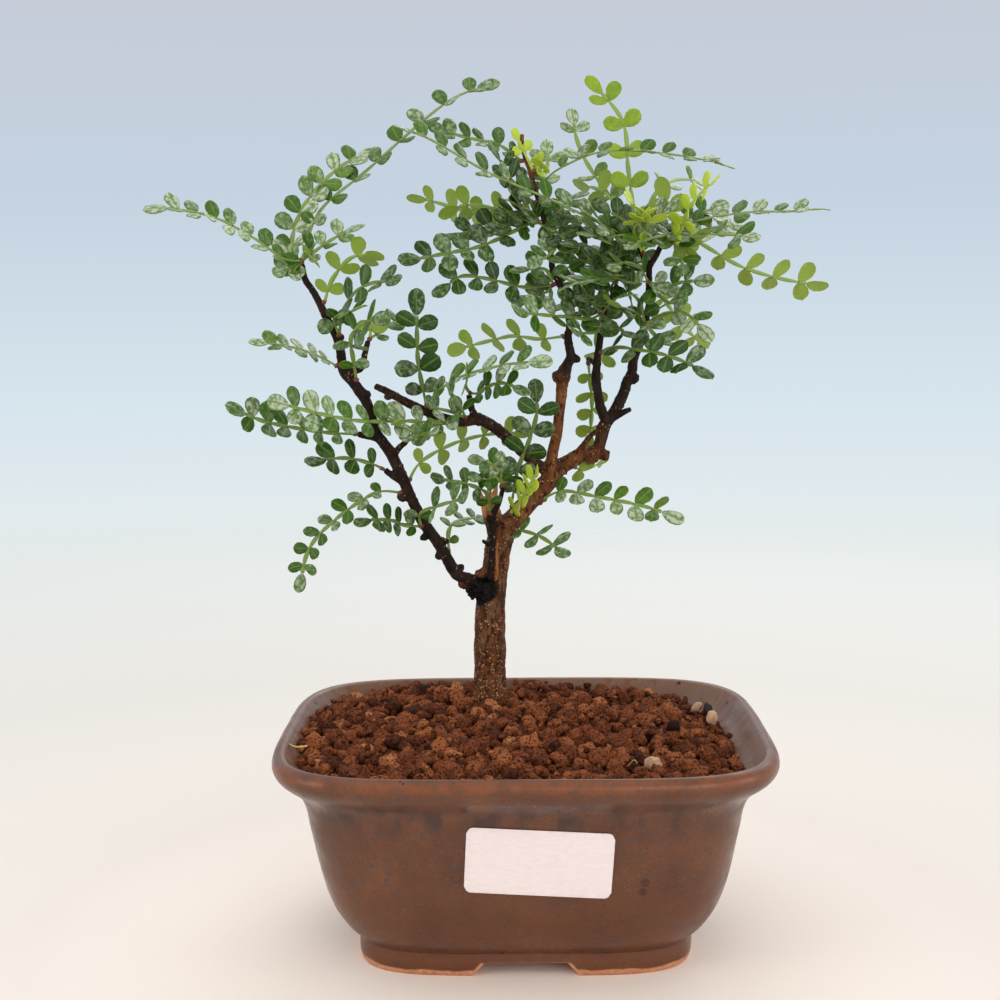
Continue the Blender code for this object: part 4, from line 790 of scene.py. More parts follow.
def pebble_look():
    """Smooth tan and black pebbles."""
    look = Look("soil_pebbles", 0.75, Specular_IOR_Level=0.2)
    tan = look.ramp(look.noise(1.4, 4), (0.3, (0.34, 0.20, 0.12)), (0.7, (0.66, 0.45, 0.30)))
    look.colour(look.mix(look.value("tone"), (0.012, 0.011, 0.012), tan))
    look.bump(look.noise(0.8, 3), 0.3, 0.15)
    return look.material


def straw_look():
    """Dry golden straw."""
    look = Look("soil_straw", 0.6)
    look.colour(look.ramp(look.noise(0.9, 3), (0.3, (0.45, 0.28, 0.09)), (0.7, (0.7, 0.5, 0.2))))
    return look.material


def net_look():
    """Matte black plastic."""
    look = Look("net_plastic", 0.55)
    look.colour(look.ramp(look.noise(2, 3), (0.3, (0.015, 0.015, 0.015)), (0.7, (0.035, 0.034, 0.032))))
    look.bump(look.noise(0.7, 2), 0.3, 0.05)
    return look.material


def paper_look():
    """Satin white paper, faintly pink, with a trace of its fibres and patchy painted shade along its edge."""
    look = Look("label_paper", 0.42, Coat_Weight=0.15, Coat_Roughness=0.3)
    fibres = look.noise(0.9, 5, (0.35, 1, 1))
    body = look.ramp(fibres, (0.3, (0.78, 0.70, 0.715)), (0.7, (0.84, 0.76, 0.775)))
    # Patchy painted shade along the label's edge.
    painted_edge_shade = look.maths("MULTIPLY", look.value("edge"), look.between(look.noise(1.8, 4), 0.45, 0.65))
    look.colour(look.over(body, painted_edge_shade, 0.5, (0.62, 0.55, 0.56)))
    look.bump(fibres, 0.12, 0.03)
    look.bump(look.noise(7, 2), 0.25, 0.12)
    return look.material


def bark_look():
    """Bark from near black on the shoots to orange-brown on the trunk, with tan lenticels and torn wood."""
    look = Look("bark", 0.7, Specular_IOR_Level=0.16)
    tone = look.value("tone")
    cloud = look.noise(2.4, 5, (1, 1, 0.4))
    shade = look.maths("ADD", tone, look.maths("MULTIPLY", look.maths("SUBTRACT", cloud, 0.5), 0.9))
    body = look.ramp(
        shade, (0.0, (0.007, 0.004, 0.003)), (0.25, (0.020, 0.009, 0.006)), (0.5, (0.075, 0.025, 0.009)),
        (0.75, (0.175, 0.060, 0.018)), (1.0, (0.30, 0.120, 0.042)),
    )
    grey = look.maths("MULTIPLY", look.between(look.noise(3.2, 4, (1, 1, 0.5)), 0.52, 0.66), tone)
    body = look.over(body, grey, 0.7, (0.19, 0.115, 0.072))
    dark = look.between(look.noise(1.0, 5, (1, 1, 0.45)), 0.52, 0.62)
    body = look.over(body, dark, 0.85, (0.014, 0.006, 0.004))
    spots = look.between(look.cells(0.95), 0.36, 0.2)
    patchy = look.between(look.maths("ADD", look.noise(3.0, 3), look.value("spot")), 0.55, 0.7)
    spots = look.maths("MULTIPLY", spots, patchy)
    tan = look.ramp(look.noise(1.7, 3), (0.35, (0.30, 0.12, 0.045)), (0.65, (0.52, 0.34, 0.20)))
    body = look.over(body, spots, 0.9, tan)
    fibres = look.ramp(
        look.noise(0.7, 4, (1.6, 1.6, 0.16)), (0.3, (0.20, 0.065, 0.018)), (0.5, (0.50, 0.22, 0.085)),
        (0.7, (0.70, 0.43, 0.22)),
    )
    body = look.mix(look.value("torn"), body, fibres)
    look.colour(look.mix(look.value("char"), body, (0.006, 0.0045, 0.004)))
    look.bump(spots, 0.5, 0.15)
    look.bump(look.noise(0.9, 5, (1, 1, 0.5)), 0.8, 0.35)
    look.bump(look.noise(0.3, 3), 0.5, 0.1)
    return look.material


def bud_look():
    """Small red-brown winter buds."""
    look = Look("buds", 0.45)
    look.colour(look.ramp(look.noise(0.5, 3), (0.35, (0.07, 0.018, 0.012)), (0.7, (0.24, 0.05, 0.03))))
    look.bump(look.noise(0.3, 3), 0.4, 0.1)
    return look.material


def leaf_look(name, dark, middle, light, under, rib):
    """Glossy leaf: darker or lighter by its tone, with painted glare (pale patches in its colour that stand
    in for reflections of the sky), pale along the midrib, a painted glow along its edge, and paler beneath,
    partly as painted glow of light through it.
    """
    look = Look(name, 0.3, IOR=1.36, Coat_Weight=0.08, Coat_Roughness=0.2, Subsurface_Weight=0.15)
    look.shader.inputs["Subsurface Radius"].default_value = (0.5, 1.0, 0.2)
    look.shader.inputs["Subsurface Scale"].default_value = 0.6 * MM
    mottle = look.maths("MULTIPLY", look.maths("SUBTRACT", look.noise(1.7, 4), 0.5), 0.4)
    tone = look.maths("ADD", look.value("tone"), mottle)
    top = look.ramp(tone, (0.0, dark), (0.5, middle), (1.0, light))
    off = look.maths("ABSOLUTE", look.value("across"))
    midrib = look.between(off, 0.14, 0.03)
    # Painted glare: pale grey-green patches laid into the top's colour to stand in for reflections of the
    # sky, stronger on leaflets with more sheen, with a faint painted haze over the whole top.
    painted_glare_noise = look.maths("ADD", look.noise(1.3, 5), look.maths("MULTIPLY", look.value("sheen"), 0.12))
    painted_glare = look.between(painted_glare_noise, 0.50, 0.72)
    inside = look.maths("MULTIPLY", look.between(off, 0.94, 0.74), look.between(off, 0.02, 0.2))
    painted_glare_haze = look.maths("MULTIPLY", look.between(look.value("sheen"), 0.3, 1.3), 0.16)
    painted_glare_patches = look.maths("MULTIPLY", painted_glare, inside)
    painted_glare = look.maths("MULTIPLY", painted_glare_patches, look.between(look.value("sheen"), 0.0, 1.1))
    painted_glare = look.maths("MINIMUM", look.maths("ADD", look.maths("MULTIPLY", painted_glare, 0.62), painted_glare_haze), 0.8)
    # The painted glare's pale grey-green colour.
    top = look.mix(painted_glare, top, (0.54, 0.63, 0.48))
    top = look.over(top, midrib, 0.45, rib)
    # A pale rim along each leaflet's edge: painted glow of light through the thin margin.
    rim = look.between(off, 0.94, 1.0)
    top = look.over(top, rim, 0.6, rib)
    glands = look.between(look.cells(0.5), 0.24, 0.12)
    # The underside's colour: the leaf's own paler olive, brightened as a painted glow of light shining
    # through from behind.
    low = look.over(under, glands, 0.25, dark)
    low = look.over(low, midrib, 0.6, rib)
    beneath = look.value("under")
    look.colour(look.mix(beneath, top, low))
    sheen = look.ramp(look.noise(1.1, 4), (0.35, (0.26,) * 3), (0.65, (0.5,) * 3))
    look.gloss(look.mix(beneath, sheen, (0.55,) * 3))
    look.bump(look.veins(off), 0.2, 0.12)
    look.bump(look.noise(0.75, 3), 0.5, 0.12)
    return look.material


def stalk_look(name, body, node_colour):
    """Leaf stalk: olive to yellow-green with a small red-brown mark at each pair of leaflets."""
    look = Look(name, 0.4, Subsurface_Weight=0.1)
    look.shader.inputs["Subsurface Scale"].default_value = 0.5 * MM
    shade = look.maths("ADD", look.value("tone"), look.maths("MULTIPLY", look.noise(1.4, 3), 0.4))
    plain = look.ramp(shade, (0.25, tuple(0.45 * part for part in body)), (0.9, body))
    look.colour(look.over(plain, look.value("node"), 0.8, node_colour))
    look.bump(look.noise(0.5, 2), 0.2, 0.06)
    return look.material


def skin_faces(long, wide):
    """Faces of a closed skin: a net of long by wide points, the same net behind it, and its edge."""
    index = np.arange(long * wide).reshape(long, wide)
    front = np.stack([index[:-1, :-1], index[1:, :-1], index[1:, 1:], index[:-1, 1:]], axis=-1).reshape(-1, 4)
    rim = np.concatenate([index[:-1, 0], index[-1, :-1], index[:0:-1, -1], index[0, :0:-1]])
    after = np.roll(rim, -1)
    edge = np.stack([rim, rim + index.size, after + index.size, after], axis=1)
    return [front, front[:, ::-1] + index.size, edge]


# The pot, its label and its net.


def rounded_ring(half_width, height, count=AROUND):
    """Points of the pot's rounded rectangle at one height, anticlockwise from above, in millimetres."""
    half_depth = half_width - DEPTH_LESS
    angles = np.linspace(0, math.tau, count, endpoint=False)
    power = 2 / SQUARENESS
    x = np.sign(np.cos(angles)) * half_width * np.abs(np.cos(angles)) ** power
    y = np.sign(np.sin(angles)) * half_depth * np.abs(np.sin(angles)) ** power
    return np.stack([x, y, np.full(count, float(height))], axis=1)


def even_ring(half_width, height, count=AROUND):
    """The same ring with its points evenly spaced."""
    fine = rounded_ring(half_width, height, 1440)
    closed = np.vstack([fine, fine[:1]])
    runs = np.concatenate([[0], np.cumsum(np.linalg.norm(np.diff(closed, axis=0), axis=1))])
    wanted = np.linspace(0, runs[-1], count, endpoint=False)
    return np.stack([np.interp(wanted, runs, closed[:, axis]) for axis in range(3)], axis=1)


def loft(profile, shape, **values):
    """Add a closed solid through rings of (half width, height), from the bottom up; values are one a ring."""
    rings = [even_ring(half_width, height) for half_width, height in profile]
    points = (np.concatenate(rings) + np.array(POT_MIDDLE)) * MM
    steps = np.arange(AROUND)
    after = (steps + 1) % AROUND
    faces = []
    for level in range(len(profile) - 1):
        low = level * AROUND
        faces.append(np.stack([low + steps, low + after, low + AROUND + after, low + AROUND + steps], axis=1))
    top = (len(profile) - 1) * AROUND
    caps = [np.array([steps[::-1]]), np.array([top + steps])]
    shape.add(points, faces + caps, **{key: np.repeat(value, AROUND) for key, value in values.items()})


def fine_profile():
    """The pot's profile as a smooth curve, with sharp edges kept where the foot begins."""
    wall = smooth_route([Vector(point) for point in OUTSIDE[2:] + INSIDE], 5)
    foot = [(FOOT_INNER - 1, FOOT_TOP), (FOOT_INNER, 0.35), (FOOT_INNER + 0.5, 0.0)]
    foot += [(46.6, 0.0), (47.2, 0.4), (47.5, 1.5), (47.6, 3.0), OUTSIDE[1]]
    return [(point.x, point.y) for point in [Vector(point) for point in foot] + wall]


def recess_cutter(width, length, turn):
    """A block with slanted ends, which cuts the foot ring."""
    bpy.ops.mesh.primitive_cube_add(size=1)
    block = bpy.context.object
    for vertex in block.data.vertices:
        upper = vertex.co.z > 0
        half = width / 2 - (RECESS_SLANT if upper else 0)
        vertex.co.x = math.copysign(half * MM, vertex.co.x)
        vertex.co.y = math.copysign(length / 2 * MM, vertex.co.y)
        vertex.co.z = (RECESS_HEIGHT if upper else -1) * MM
    block.data.transform(Matrix.Rotation(math.radians(turn), 4, "Z"))
    block.location = POT_MIDDLE * MM
    return block


def cut(thing, cutter):
    """Take a cutter's shape out of an object and remove the cutter."""
    modifier = thing.modifiers.new("cut", "BOOLEAN")
    modifier.operation = "DIFFERENCE"
    modifier.object = cutter
    modifier.solver = "EXACT"
    baked(thing)
    bpy.data.objects.remove(cutter, do_unlink=True)


def seen_on(thing, across, down):
    """The point of an object that shows at a pixel."""
    return thing.ray_cast(CAMERA_PLACE * MM, photo_ray(across, down).normalized())[1]


def make_pot():
    """The glazed pot, slightly uneven as thrown clay is."""
    profile = fine_profile()
    heights = np.array([height for half_width, height in profile])
    widths = np.array([half_width for half_width, height in profile])
    order = np.arange(len(profile))
    rim = int(np.argmax(heights))

    def band(height, spread):
        """1 at a height, less away from it."""
        return np.exp(-(((heights - height) / spread) ** 2))

    thin = np.clip(band(59.8, 1.5) * (widths > 66) + 0.5 * band(4.8, 0.8), 0, 1)
    # Dark bands: below the rim's flare on the outside, and a weaker one just above the foot.
    pooled = np.clip(band(49.5, 5.0) * (order < rim) + 0.6 * band(8, 2.5), 0, 1)
    shape = Shape()
    low = np.clip((34 - heights) / 20, 0, 1)
    loft(profile, shape, thin=thin, pooled=pooled, inner=order > rim, low=low)
    pot = shape.build("pot_body", [])
    for vertex in pot.data.vertices:
        if vertex.co.z > 2 * MM:
            outward = Vector((vertex.co.x, vertex.co.y, 0)) - POT_MIDDLE * MM
            wave = noise.noise(vertex.co * 45) * 0.28 + noise.noise(vertex.co * 160) * 0.06
            vertex.co += outward.normalized() * wave * MM
    cut(pot, recess_cutter(FRONT_RECESS, 130, 0))
    cut(pot, recess_cutter(SIDE_RECESS, 150, 90))
    bpy.ops.mesh.primitive_cylinder_add(vertices=48, radius=DRAIN_RADIUS * MM, depth=12 * MM)
    drill = bpy.context.object
    drill.location = (POT_MIDDLE + UP * 7) * MM
    cut(pot, drill)
    pot.data.shade_smooth()
    pot.data.set_sharp_from_angle(angle=math.radians(42))
    bpy.context.view_layer.update()
    chips = [(seen_on(pot, across, down), radius) for across, down, radius in CHIPS]
    blots = [(seen_on(pot, across, down), radius) for across, down, radius in BLOTS]
    pot.data.materials.clear()
    pot.data.materials.append(glaze_look(chips, blots))
    place(pot, "pot_glaze", "pot")


def make_net(look):
    """The drain net: a square of crossing plastic strands."""
    steps = 10
    bpy.ops.mesh.primitive_grid_add(x_subdivisions=steps, y_subdivisions=steps, size=(NET_SIDE - 1) * MM)
    net = bpy.context.object
    net.name = "drain_mesh"
    net.location = (POT_MIDDLE + UP * (FLOOR + GAP + 0.45)) * MM
    strands = net.modifiers.new("strands", "WIREFRAME")
    strands.thickness = 0.85 * MM
    strands.use_even_offset = False
    strands.use_boundary = True
    baked(net)
    net.data.materials.append(look)
    place(net, "net_plastic", "drain_net")


def front_wall(height):
    """How far the pot's front stands before its middle at a height, on the smooth profile."""
    profile = fine_profile()
    outer = [(high, half) for half, high in profile[: len(profile) // 2] if 10 < high < 55]
    return float(np.interp(height, [point[0] for point in outer], [point[1] for point in outer])) - DEPTH_LESS


def make_label(look):
    """The blank paper label with rounded corners, which follows the pot's front wall."""
    width, height, thick = LABEL
    columns, rows = 56, 26
    lean = math.radians(LABEL_LEAN)
    points, edges = [], []
    for column in range(columns + 1):
        x = width * (column / columns - 0.5)
        beyond = max(0.0, abs(x) - (width / 2 - LABEL_CORNER))
        half = height / 2 - LABEL_CORNER + math.sqrt(max(0.02, LABEL_CORNER**2 - beyond**2))
        for row in range(rows + 1):
            rise = half * (2 * row / rows - 1)
            flat_x = LABEL_CENTRE[0] + x * math.cos(lean) - rise * math.sin(lean)
            flat_z = LABEL_CENTRE[1] + x * math.sin(lean) + rise * math.cos(lean)
            half_depth = front_wall(flat_z)
            bow = (1 - abs(flat_x / (half_depth + DEPTH_LESS)) ** SQUARENESS) ** (1 / SQUARENESS)
            away = min(width / 2 - abs(x), half - abs(rise))
            wave = 0.05 * noise.noise(Vector((flat_x, flat_z, 0)) * 0.16)
            points.append((flat_x, -half_depth * bow - 0.34 - wave, flat_z))
            # How near the edge a point is, for the paper's painted edge shade.
            edges.append(1 - ease(away, 0.0, 1.2))
    front = np.array(points)
    back = front + np.array([0, thick, 0])
    shape = Shape()
    points = (np.vstack([front, back]) + np.array(POT_MIDDLE)) * MM
    shape.add(points, skin_faces(columns + 1, rows + 1), edge=np.tile(edges, 2))
    label = shape.build("blank_label", [look])
    label.data.set_sharp_from_angle(angle=math.radians(50))
    place(label, "label_paper", "label")


# The soil.


def soil_height(x, y, trunk):
    """Height of the soil at a place from the pot's middle, in millimetres: a low mound about the trunk."""
    away = (x - trunk.x) ** 2 + (y - trunk.y) ** 2
    return SOIL_LEVEL + SOIL_MOUND * math.exp(-away / (2 * MOUND_SPREAD**2))


def inner_half(height):
    """The pot's inner half width at a height."""
    inside = sorted((high, half) for half, high in INSIDE)
    return float(np.interp(height, [point[0] for point in inside], [point[1] for point in inside]))


def room_to_wall(x, y, height):
    """How far a place stands inside the pot's inner wall, in millimetres."""
    half_width = inner_half(height)
    half_depth = half_width - DEPTH_LESS
    reach = (abs(x / half_width) ** SQUARENESS + abs(y / half_depth) ** SQUARENESS) ** (1 / SQUARENESS)
    return (1 - reach) * half_depth


def crumb(draw, detail):
    """An angular crumb of radius about 1: a ball cut by rounded flats, with lumps."""
    ball = bmesh.new()
    bmesh.ops.create_icosphere(ball, subdivisions=detail, radius=1)
    points = np.array([vertex.co for vertex in ball.verts])
    faces = np.array([[vertex.index for vertex in face.verts] for face in ball.faces])
    ball.free()
    flats = np.array([draw.gauss(0, 1) for _ in range(30)]).reshape(10, 3)
    depths = np.array([draw.uniform(0.55, 0.92) for _ in range(10)])
    flats /= (np.linalg.norm(flats, axis=1) * depths)[:, None]
    press = np.maximum(points @ flats.T, 0) ** CRUMB_EDGE
    radius = (press.sum(axis=1) + 1) ** (-1 / CRUMB_EDGE)
    start = Vector([draw.uniform(0, 90) for _ in range(3)])
    lumps = [
        sum(noise.noise(Vector(point) * fine + start) * high for fine, high in CRUMB_LUMPS)
        for point in points
    ]
    return points * (radius + np.array(lumps))[:, None], faces


def turned(draw):
    """A random rotation as a 3 by 3 array."""
    axis = Vector((draw.gauss(0, 1), draw.gauss(0, 1), draw.gauss(0, 1))).normalized()
    return np.array(Matrix.Rotation(draw.uniform(0, math.tau), 3, axis))


def scatter(shape, kinds, draw, trunk, spacing, sizes, lift, spread):
    """Cover the soil with crumbs on a jittered net of triangles."""
    rows = int(110 / (spacing * 0.87))
    columns = int(134 / spacing)
    for row in range(rows + 1):
        for column in range(columns + 1):
            x = (column - columns / 2 + 0.5 * (row % 2) + draw.uniform(-0.3, 0.3)) * spacing
            y = (row - rows / 2 + draw.uniform(-0.3, 0.3)) * spacing * 0.87
            radius = draw.triangular(*sizes)
            height = soil_height(x, y, trunk) + lift + draw.uniform(-spread, spread)
            room = room_to_wall(x, y, height)
            by_trunk = math.hypot(x - trunk.x, y - trunk.y)
            tone = draw.triangular(0.05, 1.0, 0.42)
            kind = draw.choice(kinds)
            turn = turned(draw)
            stretch = np.array([draw.uniform(1.05, 1.35), draw.uniform(0.9, 1.15), draw.uniform(0.75, 1.05)])
            sunk = ease(x + 0.12 * y, 44.0, 54.0) * SOIL_SUNK
            height -= 0.5 * sunk
            if room < 0.4 + sunk or by_trunk < 4.6:
                continue
            radius = min(radius, room + 0.9)
            points, faces = kind
            points = (points * stretch * radius) @ turn.T + np.array([x, y, height])
            shape.add((points + np.array(POT_MIDDLE)) * MM, [faces], tone=tone)


def make_soil(look, pebble, straw):
    """The bed, two layers of grains, fine crumbs, a few pebbles and two bits of straw."""
    draw = random.Random(11)
    trunk = photo_point(*WOOD["trunk"][1][:3]) / MM - POT_MIDDLE
    bed = Shape()
    profile = [(half - 0.4, high) for half, high in reversed(INSIDE[2:-1])]
    profile = [(42.5, FLOOR + 1.6)] + profile + [(inner_half(54.5) - 0.4, 54.5)]
    loft(profile, bed, tone=np.full(len(profile), 0.3))
    bed = bed.build("soil_bed", [look])
    place(bed, "soil_grains", "soil")
    large = [crumb(draw, 3) for _ in range(16)]
    small = [crumb(draw, 2) for _ in range(12)]
    under = Shape()
    scatter(under, small, draw, trunk, 4.9, (2.2, 3.4, 2.8), -3.4, 0.8)
    scatter(under, small, draw, trunk, 5.2, (0.7, 1.6, 1.1), 0.1, 1.0)
    place(under.build("soil_under", [look]), "soil_grains")
    above = Shape()
    scatter(above, large, draw, trunk, 5.3, (1.8, 3.5, 2.6), -0.9, 1.2)
    for across, down, height, radius, tone in LIGHT_GRAINS:
        points, faces = draw.choice(large)
        points = points @ turned(draw).T * radius * MM + np.array(level_point(across, down, height))
        above.add(points, [faces], tone=tone)
    place(above.build("soil_top", [look]), "soil_grains")
    pebbles = Shape()
    for across, down, height, radius, tone in PEBBLES:
        points, faces = draw.choice(large)
        centre = level_point(across, down, height)
        smooth = points / np.linalg.norm(points, axis=1)[:, None] * 0.3 + points * 0.7
        points = (smooth * np.array([1.1, 0.9, 0.75]) * radius * MM) @ turned(draw).T + np.array(centre)
        pebbles.add(points, [faces], tone=tone)
    place(pebbles.build("soil_stones", [pebble]), "soil_grains")
    stems = Shape()
    for route, radius in STRAW:
        add_tube(stems, smooth_route([level_point(*point) for point in route], 6), lambda run: radius, 6)
    place(stems.build("soil_stems", [straw]), "soil_grains")


# Wood.


def frames(points):
    """Directions along a route, and two directions across it that don't twist."""
    last = len(points) - 1
    ahead = [(points[min(i + 1, last)] - points[max(i - 1, 0)]).normalized() for i in range(last + 1)]
    side = ahead[0].orthogonal().normalized()
    found = []
    for direction in ahead:
        side = (side - direction * side.dot(direction)).normalized()
        found.append((direction, side, direction.cross(side)))
    return found


def add_tube(shape, points, radius_at, sides, look=0, **values):
    """Add a closed tube through points in metres; radius_at gives millimetres by share of its length."""
    count = len(points)
    angles = np.linspace(0, math.tau, sides, endpoint=False)
    rings = []
    for index, (point, (ahead, side, across)) in enumerate(zip(points, frames(points))):
        radius = radius_at(index / (count - 1)) * MM
        circle = np.outer(np.cos(angles), side) + np.outer(np.sin(angles), across)
        rings.append(np.array(point) + circle * radius)
    ring = np.arange(sides)
    after = (ring + 1) % sides
    faces = []
    for level in range(count - 1):
        low = level * sides
        faces.append(np.stack([low + ring, low + after, low + sides + after, low + sides + ring], axis=1))
    ends = [np.array([ring[::-1]]), np.array([(count - 1) * sides + ring])]
    shape.add(np.concatenate(rings), faces + ends, look, **values)


def wood_route(name):
    """A piece of wood: close points in metres, their radii in millimetres and their shares of its length."""
    rough = WOOD[name]
    points = [photo_point(across, down, behind) for across, down, behind, radius in rough]
    if name == "trunk":
        points[0] = points[1] - UP * 9 * MM
    route = smooth_route(points, 6)
    radii = np.interp(np.arange(len(route)) / 6, np.arange(len(rough)), [point[3] for point in rough])
    shares = np.linspace(0, 1, len(route))
    return route, radii, shares


def bark_relief(point, radius, torn, char):
    """How far the bark stands out at a point, in millimetres."""
    rough = 0.06 + 0.14 * ease(radius, 1.5, 4.0)
    height = noise.fractal(Vector((point.x, point.y, point.z * 0.5)) * 0.9, 1.0, 2.0, 3) * rough
    cell = noise.voronoi(Vector((point.x, point.y, point.z * 0.8)) * 0.62)[0][0]
    height += ease(0.34 - cell, 0.0, 0.1) * 0.10
    height += torn * 0.55 * noise.noise(Vector((point.x * 1.6, point.y * 1.6, point.z * 0.18)))
    return height + char * (0.9 * noise.noise(point * 0.75) + 0.9 * noise.noise(point * 1.9))


def make_wood(look):
    """Trunk, branches, stubs and knob as one skin of bark."""
    shape = Shape()
    samples = []
    for name in WOOD:
        route, radii, shares = wood_route(name)
        draw = random.Random(name)
        steps = len(route)
        swell = [1 + 0.07 * noise.noise(Vector((share * steps * 0.35, draw.random(), 0))) for share in shares]
        grown = radii * np.array(swell)
        add_tube(shape, route, lambda share: float(np.interp(share, shares, grown)), 20)
        torn = 1.0 if "splinter" in name else 0.0
        for point, radius, share in zip(route, radii, shares):
            tone = read_steps(BARK.get(name, PLAIN_BARK), share)
            split = ease(share, 0.45, 0.62) if name == "dead_stub" else torn
            samples.append((point, radius, tone, split, 0.0))
    draw = random.Random(5)
    for across, down, behind, radius, *tone in NUBS + LUMPS:
        points, faces = crumb(draw, 3)
        spot = photo_point(across, down, behind)
        shape.add(points * radius * MM + np.array(spot), [faces])
        if tone:
            samples.append((spot, radius + 0.3, tone[0], 0.0, 0.0))
    across, down, behind, radius = KNOB
    centre = photo_point(across, down, behind)
    for turn in range(10):
        points, faces = crumb(draw, 3)
        step = Vector([draw.uniform(-1, 1) for _ in range(3)]) * (radius * 0.5 if turn else 0) * MM
        size = radius * (0.95 if turn == 0 else draw.uniform(0.35, 0.6)) * MM
        shape.add(points * size + np.array(centre + step), [faces])
        samples.append((centre + step, radius, 0.0, 0.0, 1.0))
    wood = shape.build("wood_bark", [look])
    skin = wood.modifiers.new("skin", "REMESH")
    skin.mode = "VOXEL"
    skin.voxel_size = BARK_VOXEL * MM
    soft = wood.modifiers.new("soft", "SMOOTH")
    soft.factor = 0.5
    soft.iterations = 2
    mesh = baked(wood)
    tree = kdtree.KDTree(len(samples))
    for index, sample in enumerate(samples):
        tree.insert(sample[0], index)
    tree.balance()
    places = [vertex.co.copy() for vertex in mesh.vertices]
    normals = [vertex.normal.copy() for vertex in mesh.vertices]
    values = {"tone": [], "spot": [], "torn": [], "char": []}
    for index, (point, normal) in enumerate(zip(places, normals)):
        near = [(samples[which], distance / MM) for found, which, distance in tree.find_n(point, 16)]
        beyond = min(distance - sample[1] for sample, distance in near)
        weights = [math.exp((beyond - distance + sample[1]) / 0.2) for sample, distance in near]
        total = sum(weights)
        mixed = [sum(w * sample[k] for w, (sample, _) in zip(weights, near)) / total for k in (1, 2, 3, 4)]
        radius, tone, torn, char = mixed
        char = max(char, 1 - ease((point - centre).length / MM, *BLACK_KNOB))
        places[index] = point + normal * bark_relief(point / MM, radius, torn, char) * MM
        base = 1 - ease(point.z / MM, SOIL_LEVEL + 2, SOIL_LEVEL + 26)
        spot = (0.12 * ease(radius, 1.2, 3.5) + 0.17 * base) * (1 - torn) * (1 - char) * ease(tone, 0.01, 0.1)
        for key, value in (("tone", tone), ("spot", spot), ("torn", torn), ("char", char)):
            values[key].append(value)
    mesh.vertices.foreach_set("co", np.array(places, np.float32).ravel())
    for key, numbers in values.items():
        set_value(mesh, key, numbers)
    mesh.materials.clear()
    mesh.materials.append(look)
    mesh.shade_smooth()
    place(wood, "bark", "wood")


# Leaves.


def seat(branch, pixel, toward):
    """Where a bud sits: its centre, the wood's surface under it, and how far behind the pot's middle."""
    wanted = Vector(pixel)
    best = None
    last = len(WOOD[branch]) - 2
    for index, (start, end) in enumerate(zip(WOOD[branch], WOOD[branch][1:])):
        step = Vector(end[:2]) - Vector(start[:2])
        share = min(1.0, max(0.0, (wanted - Vector(start[:2])).dot(step) / step.length_squared))
        off = (Vector(start[:2]) + step * share - wanted).length
        if best is None or off < best[0] - 1e-9:
            best = (off, index, share)
    _, index, share = best
    start, end = WOOD[branch][index], WOOD[branch][index + 1]
    across, down, behind, radius = [a + (b - a) * share for a, b in zip(start, end)]
    axis = (photo_point(*end[:3]) - photo_point(*start[:3])).normalized()
    centre = photo_point(across, down, behind)
    out = (photo_point(toward[0], toward[1], behind + toward[2]) - centre).normalized()
    at_tip = index == last and share > 0.98 and out.dot(axis) > 0
    if not at_tip:
        out = (out - axis * out.dot(axis)).normalized()
    aside = math.sqrt(max(0.0, 1 - out.dot(axis) ** 2))
    return centre + out * (radius * aside + BUD * 0.6) * MM, centre + out * radius * aside * 0.5 * MM, behind


class Stalk:
    """A leaf's stalk: points, directions and faces along its length, all in metres."""

    def __init__(self, points, tilt):
        self.points = points
        self.lengths = [0.0]
        for start, end in zip(points, points[1:]):
            self.lengths.append(self.lengths[-1] + (end - start).length)
        self.length = self.lengths[-1]
        turn = math.radians(tilt)
        self.face = TO_VIEWER * math.sin(turn) + UP * math.cos(turn)

    def at(self, run):
        """Point, direction, side and face at a running length."""
        run = min(max(run, 0.0), self.length)
        index = 0
        while index < len(self.points) - 2 and self.lengths[index + 1] < run:
            index += 1
        start, end = self.points[index], self.points[index + 1]
        share = (run - self.lengths[index]) / (self.lengths[index + 1] - self.lengths[index])
        ahead = (end - start).normalized()
        face = (self.face - ahead * self.face.dot(ahead)).normalized()
        return start.lerp(end, share), ahead, ahead.cross(face), face


def leaf_route(bud, foot, behind, pixels, reach):
    """The smooth route of a leaf's stalk from inside the wood through its bud and its pixels."""
    runs = [0.0]
    for start, end in zip(pixels, pixels[1:]):
        runs.append(runs[-1] + math.dist(start, end))
    before = 0.25 * runs[-1]
    places = [foot, bud]
    for run, (across, down) in zip(runs, pixels):
        places.append(photo_point(across, down, behind + reach * (run + before) / (runs[-1] + before)))
    return smooth_route(places)


def pair_places(length, size, pairs):
    """Where along a stalk its pairs of leaflets sit, and the leaflet at its end."""
    end = length - END_BACK * size
    first = max(BARE_SHARE * length, BARE_LEAST * MM) if pairs > 1 else end * ONLY_PAIR
    step = (end - PAIR_BACK * size - first) / max(1, pairs - 1)
    return [first + step * index for index in range(pairs)], end


def leaflet_grid():
    """The leaflet's net: shares along and across each point, and the faces of its closed skin."""
    along = 0.012 + 0.976 * (1 - np.cos(np.linspace(0, math.pi, LEAFLET_ROWS + 1))) / 2
    across = np.sin(np.linspace(-1, 1, LEAFLET_COLUMNS) * math.pi / 2)
    t, s = np.meshgrid(along, across, indexing="ij")
    return t.ravel(), s.ravel(), skin_faces(*t.shape)


LEAFLET_ALONG, LEAFLET_ACROSS, LEAFLET_FACES = leaflet_grid()


